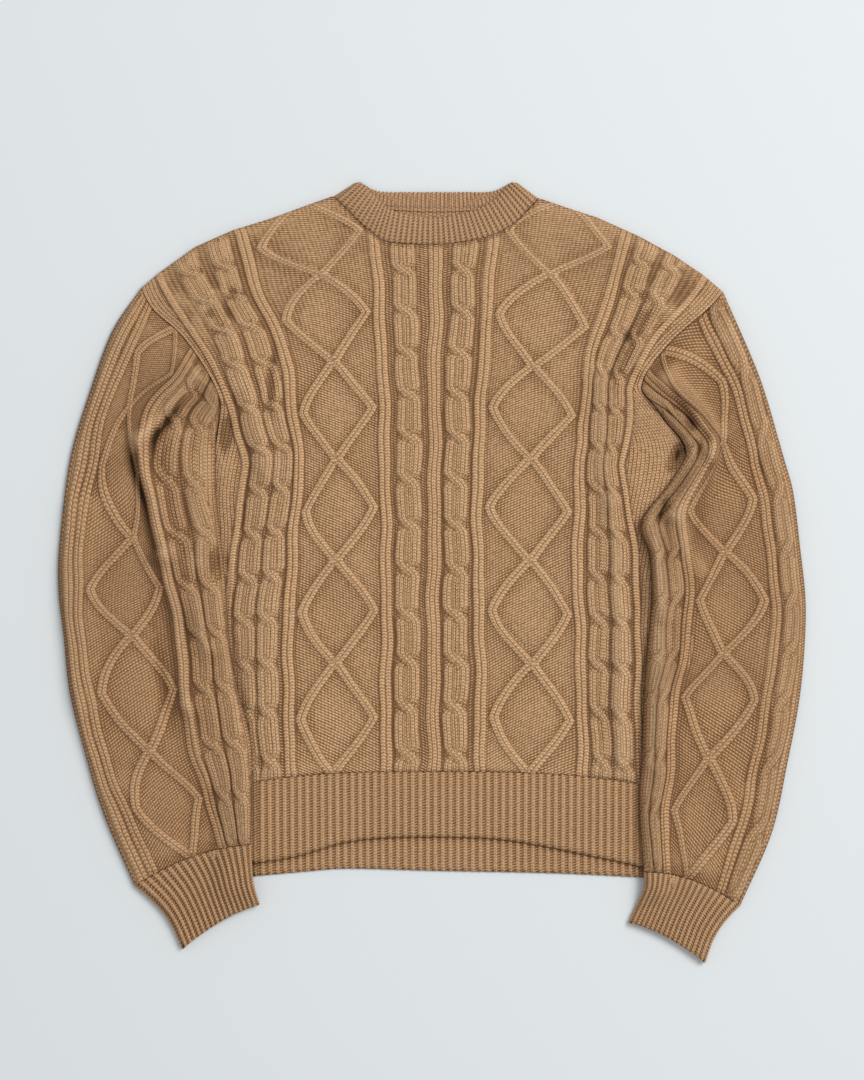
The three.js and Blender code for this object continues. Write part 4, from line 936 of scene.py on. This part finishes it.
# A flattened tube from its upper and lower faces: (x, y, z) grids that share their first and last columns
def tubePiece(name, upper, lower, stitches, slot, material, innerRowStep, innerStep):
    x, y, z = (roundTube(a, b) for a, b in zip(upper, lower))
    stitches = [roundTube(np.broadcast_to(a, upper[0].shape), np.broadcast_to(b, lower[0].shape))
                for a, b in zip(*stitches)]
    upCount, lowCount = upper[0].shape[1], lower[0].shape[1]
    innerRows = everyFew(x.shape[0], innerRowStep)
    upPicked = [0] + list(range(innerStep, upCount - innerStep // 2, innerStep)) + [upCount - 1]
    lowPicked = list(range(upCount, x.shape[1], 2))
    innerColumns = upPicked + lowPicked
    picked = np.ix_(innerRows, innerColumns)
    innerX, innerY, innerZ = x[picked].copy(), y[picked].copy(), z[picked].copy()
    low = lowestAround(upper[2], innerRows, upPicked, innerRowStep + 1, innerStep + 1)
    under = [int(round(column * (lowCount - 1) / (upCount - 1))) for column in upPicked]
    floorZ = lower[2][np.ix_(innerRows, under)]
    innerZ[:, :len(upPicked)] = np.maximum(low - wall, floorZ + wall + cloth["layerGap"])
    innerZ[:, len(upPicked):] += wall
    # The inner points are moved in from both folds by the wall's thickness
    foldX, foldY = innerX[:, [0, len(upPicked) - 1]], innerY[:, [0, len(upPicked) - 1]]
    acrossX, acrossY = foldX[:, 1] - foldX[:, 0], foldY[:, 1] - foldY[:, 0]
    length = np.hypot(acrossX, acrossY)
    for column in range(len(innerColumns)):
        awayX, awayY = innerX[:, column] - foldX[:, 0], innerY[:, column] - foldY[:, 0]
        depth = (awayX * acrossX + awayY * acrossY) / length
        push = np.clip(wall - depth, 0, wall) - np.clip(wall - (length - depth), 0, wall)
        innerX[:, column] += push * acrossX / length
        innerY[:, column] += push * acrossY / length
    return clothWall(name, (x, y, z), (innerX, innerY, innerZ), innerRows, innerColumns, True, stitches,
                     material)


sleeve = {
    "fine": 1.3, "coarse": 1.5, "rows": 290, "innerSteps": (10, 8),
    "underWidth": 190,  # columns of the underside, from its outer and its inner fold
    "underOuter": (0, 1.2, 3, 5.5, 14, 30, 50, 70, 90, 105, 120),
    "underInner": (62, 50, 40, 30, 20, 12, 6, 3, 1.2, 0),
    "loft": 2.4, "foldRadius": 6, "deepest": -2.6,
    "hollows": ((4, 2.4, 1), (12, 6, 0.8)),
    "besideBody": (36, 29),  # below the armpit the fold lies right against the body's side
    "flat": (0.40, 0.56), "area": 0.176,
}


def makeSleeve(name, node, half, rows, bands, folds):
    side = -1 if half is leftHalf else 1
    top = rows["at"][-1]
    at = np.linspace(0, top, sleeve["rows"] + 1)[:, None]

    def linesAt(places):
        outerX, innerX = along(rows, "outerX", places), along(rows, "innerX", places)
        rise = along(rows, "innerY", places) - along(rows, "outerY", places)
        length = np.hypot(innerX - outerX, rise)
        shares = [(along(rows, line, places) - outerX) / (innerX - outerX)
                  for line in ("outerRib", "diamond", "innerRib", "cable", "lastCable")]
        shares = [np.zeros_like(length), shares[0] / 2] + shares + [np.ones_like(length)]
        return [value * length for value in shares], length

    layout = [float(value) for value in linesAt(np.array(cloth["layoutAt"]))[0]]
    columns = fineColumns(bands, layout, sleeve["fine"], sleeve["coarse"])
    atUpper = np.broadcast_to(at, (sleeve["rows"] + 1, len(columns)))
    lines, length = linesAt(atUpper)
    across = spread(columns, lines)
    below = np.concatenate([np.array(sleeve["underOuter"]) / sleeve["underWidth"],
                            1 - np.array(sleeve["underInner"]) / sleeve["underWidth"]])
    atLower = np.broadcast_to(at, (sleeve["rows"] + 1, len(below)))

    underarm = frontAt[:, 0] >= underarmAt
    column = 0 if half is leftHalf else -1
    seamX, seamY = frontX[underarm][::-1, column], frontY[underarm][::-1, column]

    def loosePlace(share, places):
        x, y, wide = crossPoint(rows, places, share)
        sx, sy, alongX, alongY = walk(seamX, seamY, share)
        lineX, lineY = crossPoint(rows, np.full_like(share, top), share)[:2]
        toSeam = ease(4.2, top, places)
        return (x + toSeam * (sx - side * cloth["seamGap"] * alongY - lineX),
                y + toSeam * (sy + side * cloth["seamGap"] * alongX - lineY), wide)

    armpit = sideY(half, underarmAt)
    lower, upper = armpit - sleeve["besideBody"][0], armpit - sleeve["besideBody"][1]

    def place(share, places):
        x, y, wide = loosePlace(share, places)
        endX, endY = loosePlace(np.ones_like(share), places)[:2]
        shift = bodyEdgeX(half, endY) + side * cloth["seamGap"] - endX
        return x + shift * ease(lower, upper, endY) * ease(0.75, 1, share), y, wide

    def heights(x, y, share, places, wide):
        low = underSleeve(half, x, y)
        atSeam, atCuff = ease(4.75, top, places), 1 - ease(0, 0.15, places)
        edge = np.minimum(share, 1 - share) * wide
        loft = ease(0, 9, edge)
        fold, troughs = foldForm(folds, x, y)
        fold = (fold + (waves(x, y) + 0.9) * cloth["waviness"]) * (1 - atSeam) * (1 - atCuff)
        high = low + tubeHeight + loft * mix(sleeve["loft"], 1, atCuff)
        high = high + np.maximum(fold, sleeve["deepest"]) * ease(0, 0.8, loft)
        high = mix(high, frontFace + (tubeHeight - frontFace) * (1 - atSeam), atSeam)
        low = low * (1 - atSeam)
        return low, high, edge, troughs

    shareUp = across / length
    x, y, wide = place(shareUp, atUpper)
    low, high, edge, troughs = heights(x, y, shareUp, atUpper, wide)
    raised, knit, stitch = stitchForm(bands, lines, atUpper, across, atUpper * relief["sleeveCrossings"])
    turn = rounded(edge, sleeve["foldRadius"])
    ends = ease(0, 0.05, atUpper) * (1 - ease(4.97, top, atUpper))
    z = mix(low + 0.5 * tubeHeight, high, turn) + raised * ease(0, 5, edge) * (0.3 + 0.7 * ends)
    shareLow = np.broadcast_to(below, atLower.shape)
    lowX, lowY, lowWide = place(shareLow, atLower)
    underneath, lowEdge = heights(lowX, lowY, shareLow, atLower, lowWide)[::2]
    lowZ = mix(underneath + 0.5 * tubeHeight, underneath, rounded(lowEdge, sleeve["foldRadius"]))
    x = x + drift(x, y) * ease(0, 12, edge) * ease(0, 0.3, atUpper) * (1 - ease(4.6, 4.9, atUpper))
    shade = hollowShade(z, sleeve["hollows"]) + troughs
    groundX = spread(columns, linesAt(np.full(len(columns), cloth["layoutAt"]))[0])
    knitted = (stitch, atUpper * cloth["rowsPerDiamond"], knit, shade, groundX, atUpper * cloth["groundRows"])
    piece = tubePiece(name, (x, y, z), (lowX, lowY, lowZ), (knitted, plainStitches(lowX, lowY)), "camel_knit",
                      camelSleeveShaded, *sleeve["innerSteps"])
    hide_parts(node)


# The left sleeve's outer cable lies on its fold and hardly shows
leftBands = [("outerCable", "rib", 5, 2) if band[0] == "outerCable" else band for band in sleeveBands]
makeSleeve("sleeveLeft", "sleeve_left", leftHalf, sleeveLeft, leftBands, sleeveLeftFolds)
makeSleeve("sleeveRight", "sleeve_right", rightHalf, sleeveRight, sleeveBands, sleeveRightFolds)

cuff = {
    "ribs": 17, "perRib": 8, "rows": 26, "innerSteps": (6, 8), "rise": 1.9, "foldRadius": 5,
    "under": (0, 0.015, 0.04, 0.1, 0.25, 0.45, 0.65, 0.82, 0.93, 0.97, 0.99, 1),  # columns of the underside
    "length": 45, "stitchRows": 24, "endRadius": 4, "endDrop": 1.5, "endLift": 1.2,
    "scallop": 0.7, "bulge": 0.8,
    "flat": (0.20, 0.07),
}


def makeCuff(name, node, half, rows, shaded):
    at = np.linspace(0, 1, cuff["rows"] + 1)[:, None]
    up = np.linspace(0, 1, cuff["ribs"] * cuff["perRib"] + 1)

    def face(shares, top):
        share = np.broadcast_to(shares, (len(at), len(shares)))
        places = np.broadcast_to(at, share.shape)
        x, y, wide = crossPoint(rows, places, share)
        y = y - np.where(places == 1, cloth["seamGap"], 0)
        low = underSleeve(half, x, y)
        edge = np.minimum(share, 1 - share) * wide
        turn = rounded(edge, cuff["foldRadius"])
        free = rounded(places * cuff["length"] + 0.5, cuff["endRadius"])
        middle = low + 0.5 * tubeHeight
        if not top:
            return x, y, mix(middle, low + cuff["endLift"] * (1 - free), turn)
        ribs = ribWave(cuff["ribs"], share)
        high = low + tubeHeight + ease(0, 9, edge) + np.sin(np.pi * places) * cuff["bulge"]
        seam = 0.3 + 0.7 * ease(0, 0.12, 1 - places)
        z = mix(middle, high - cuff["endDrop"] * (1 - free), turn)
        z = z + ribs * cuff["rise"] * ease(0, 4, edge) * free * seam
        return x, y - cuff["scallop"] * ribs * (places == 0), z

    x, y, z = face(up, True)
    lowX, lowY, lowZ = face(cuff["under"], False)
    ribs = ribWave(cuff["ribs"], np.broadcast_to(up, x.shape))
    rowPlace = np.broadcast_to(at * cuff["stitchRows"], x.shape)
    ribPlace = np.broadcast_to(up * cuff["ribs"] + 0.5, x.shape)
    # Painted shade in the gutters between ribs, and more of it over the whole cuff
    shade = (0.5 - ribs) * 1.1 + shaded
    ribbed = (ribPlace, rowPlace, ease(0.3, 0.7, ribs), shade, ribPlace * 2 * cloth["groundStitch"], rowPlace)
    piece = tubePiece(name, (x, y, z), (lowX, lowY, lowZ), (ribbed, plainStitches(lowX, lowY)), "camel_rib",
                      camelRibShaded, *cuff["innerSteps"])
    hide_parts(node)


makeCuff("cuffLeft", "cuff_left", leftHalf, cuffLeft, 0.3)  # the left cuff gets more painted shade
makeCuff("cuffRight", "cuff_right", rightHalf, cuffRight, 0.1)

collar = {
    "ribs": 42, "perRib": 8, "rows": 16, "stitchRows": 9,
    "halfRound": 200, "rise": 1.5, "innerRise": 1.2, "crown": 1.9, "foldRadius": 5, "corner": 7,
    "scallop": 0.9, "endDrop": 1.6, "insideShade": 0.8,
    "flat": (0.42, 0.028),
}


def makeCollar():
    at = np.linspace(0, 1, collar["rows"] + 1)[:, None]
    shares = np.linspace(0, 1, collar["ribs"] * collar["perRib"] + 1)
    share, places = np.broadcast_arrays(shares, at)
    edge = np.minimum(share, 1 - share) * collar["halfRound"]
    ribs = ribWave(collar["ribs"], share)

    def strip(neck, panelX, panelY):
        onNeck = (panelX[-1] >= neck["seamX"][0] - 0.01) & (panelX[-1] <= neck["seamX"][-1] + 0.01)
        seamX, seamY = walk(panelX[-1][onNeck], panelY[-1][onNeck], share)[:2]
        edgeX, edgeY = along(neck, "edgeX", share), along(neck, "edgeY", share)
        width = np.hypot(edgeX - seamX, edgeY - seamY)
        # The band's corners at the folds are rounded, and its free edge scalloped
        inward = np.clip(collar["corner"] - edge, 0, collar["corner"])
        short = collar["corner"] - np.sqrt(collar["corner"]**2 - inward**2)
        scallop = collar["scallop"] * (ribs - 0.5) * ease(0.85, 1, places)
        up = mix(cloth["seamGap"] / width, 1 - (short - scallop) / width, places)
        return mix(seamX, edgeX, up), mix(seamY, edgeY, up), width

    x, y, width = strip(neckFront, frontX, frontY)
    lowX, lowY = strip(neckBack, backX, backY)[:2]
    turn = rounded(edge, collar["foldRadius"])
    rim = np.minimum(rounded(places * width + 0.8, 3), rounded((1 - places) * width + 0.3, 3.5))
    arch = np.sin(np.pi * places)**0.7
    high = frontFace + collar["crown"] * arch * turn - collar["endDrop"] * (1 - rim)
    z = mix(wall, high, turn) + ribs * collar["rise"] * rim * ease(0, 3, edge)
    lowZ = np.zeros_like(z) + 0.5 * wall * (1 - turn)
    # The back strip's inner face shows behind the front one, so it has its ribs too
    innerHigh = np.maximum(z - wall - ribs * collar["rise"], wall + 0.6)
    innerLow = wall * 0.9 + (ribs * collar["innerRise"] + arch) * turn
    innerLow = np.where(places > 0.2, innerLow, np.minimum(innerLow, wall))
    roundX, roundY = roundTube(x, lowX), roundTube(y, lowY)
    innerX = np.clip(roundX, x[:, :1] + 2.2, x[:, -1:] - 2.2)
    innerX[-1] = roundX[-1]
    outer, inner = (roundX, roundY, roundTube(z, lowZ)), (innerX, roundY, roundTube(innerHigh, innerLow))
    allRows, allColumns = (list(range(count)) for count in roundX.shape)
    # Painted shade: inside the neck it is darker toward the front strip's edge
    inside = roundTube(np.zeros_like(ribs), (1 - ease(0, 1.05, places)) * collar["insideShade"])
    ribsRound, rowPlace = roundTube(ribs, ribs), roundTube(places, places) * collar["stitchRows"]
    ribPlace = roundTube(share, share) * collar["ribs"] + 0.5
    # Painted shade in the gutters between ribs, and inside the neck
    shade = (0.45 - ribsRound) * 0.9 + inside
    groundX = ribPlace * 2 * cloth["groundStitch"]
    stitches = (ribPlace, rowPlace, ease(0.3, 0.7, ribsRound), shade, groundX, rowPlace)
    piece = clothWall("neckbandRib", outer, inner, allRows, allColumns, True, stitches,
                      camelCollarShaded)
    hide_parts("neckband")


makeCollar()

room = {
    "floor": (0.748, 0.782, 0.794, 1), "floorSize": 6,
    "skyStrength": 0.53, "sky": (0.975, 0.985, 0.995, 1),
    "lampPower": 198, "lampSize": 2.7, "lampPlace": (3.0, 1.9, 4.0),
}
bpy.ops.mesh.primitive_plane_add(size=room["floorSize"], location=(0, 0, -0.0006))
floor = bpy.context.object
floor.name = "floor"
paper = bpy.data.materials.new("palePaper")
paper.use_nodes = True
for word, value in (("Base Color", room["floor"]), ("Roughness", 0.9), ("Specular IOR Level", 0.1)):
    paper.node_tree.nodes["Principled BSDF"].inputs[word].default_value = value
floor.data.materials.append(paper)

world = bpy.data.worlds.new("studio")
bpy.context.scene.world = world
world.use_nodes = True
world.node_tree.nodes["Background"].inputs["Color"].default_value = room["sky"]
world.node_tree.nodes["Background"].inputs["Strength"].default_value = room["skyStrength"]

bpy.ops.object.light_add(type="AREA", location=room["lampPlace"])
lamp = bpy.context.object
lamp.name = "softLamp"
lamp.data.energy = room["lampPower"]
lamp.data.size = room["lampSize"]
toward = -np.array(room["lampPlace"])
lamp.rotation_euler = (float(np.arctan2(np.hypot(toward[0], toward[1]), -toward[2])), 0,
                       float(np.arctan2(toward[1], toward[0]) - np.pi / 2))

# One pixel of the 864 by 1080 picture is 0.95 mm where the garment lies
view = {"height": 3.2, "pixel": 0.00095, "imageWidth": 864, "centre": (0.0001, 0.0299)}
bpy.ops.object.camera_add(location=(view["centre"][0], view["centre"][1], view["height"]), rotation=(0, 0, 0))
camera = bpy.context.object
camera.data.sensor_fit = "HORIZONTAL"
camera.data.lens = camera.data.sensor_width * view["height"] / (view["pixel"] * view["imageWidth"])
camera.data.clip_end = 20
bpy.context.scene.camera = camera
bpy.context.scene.view_settings.view_transform = "Standard"
print("room lit")
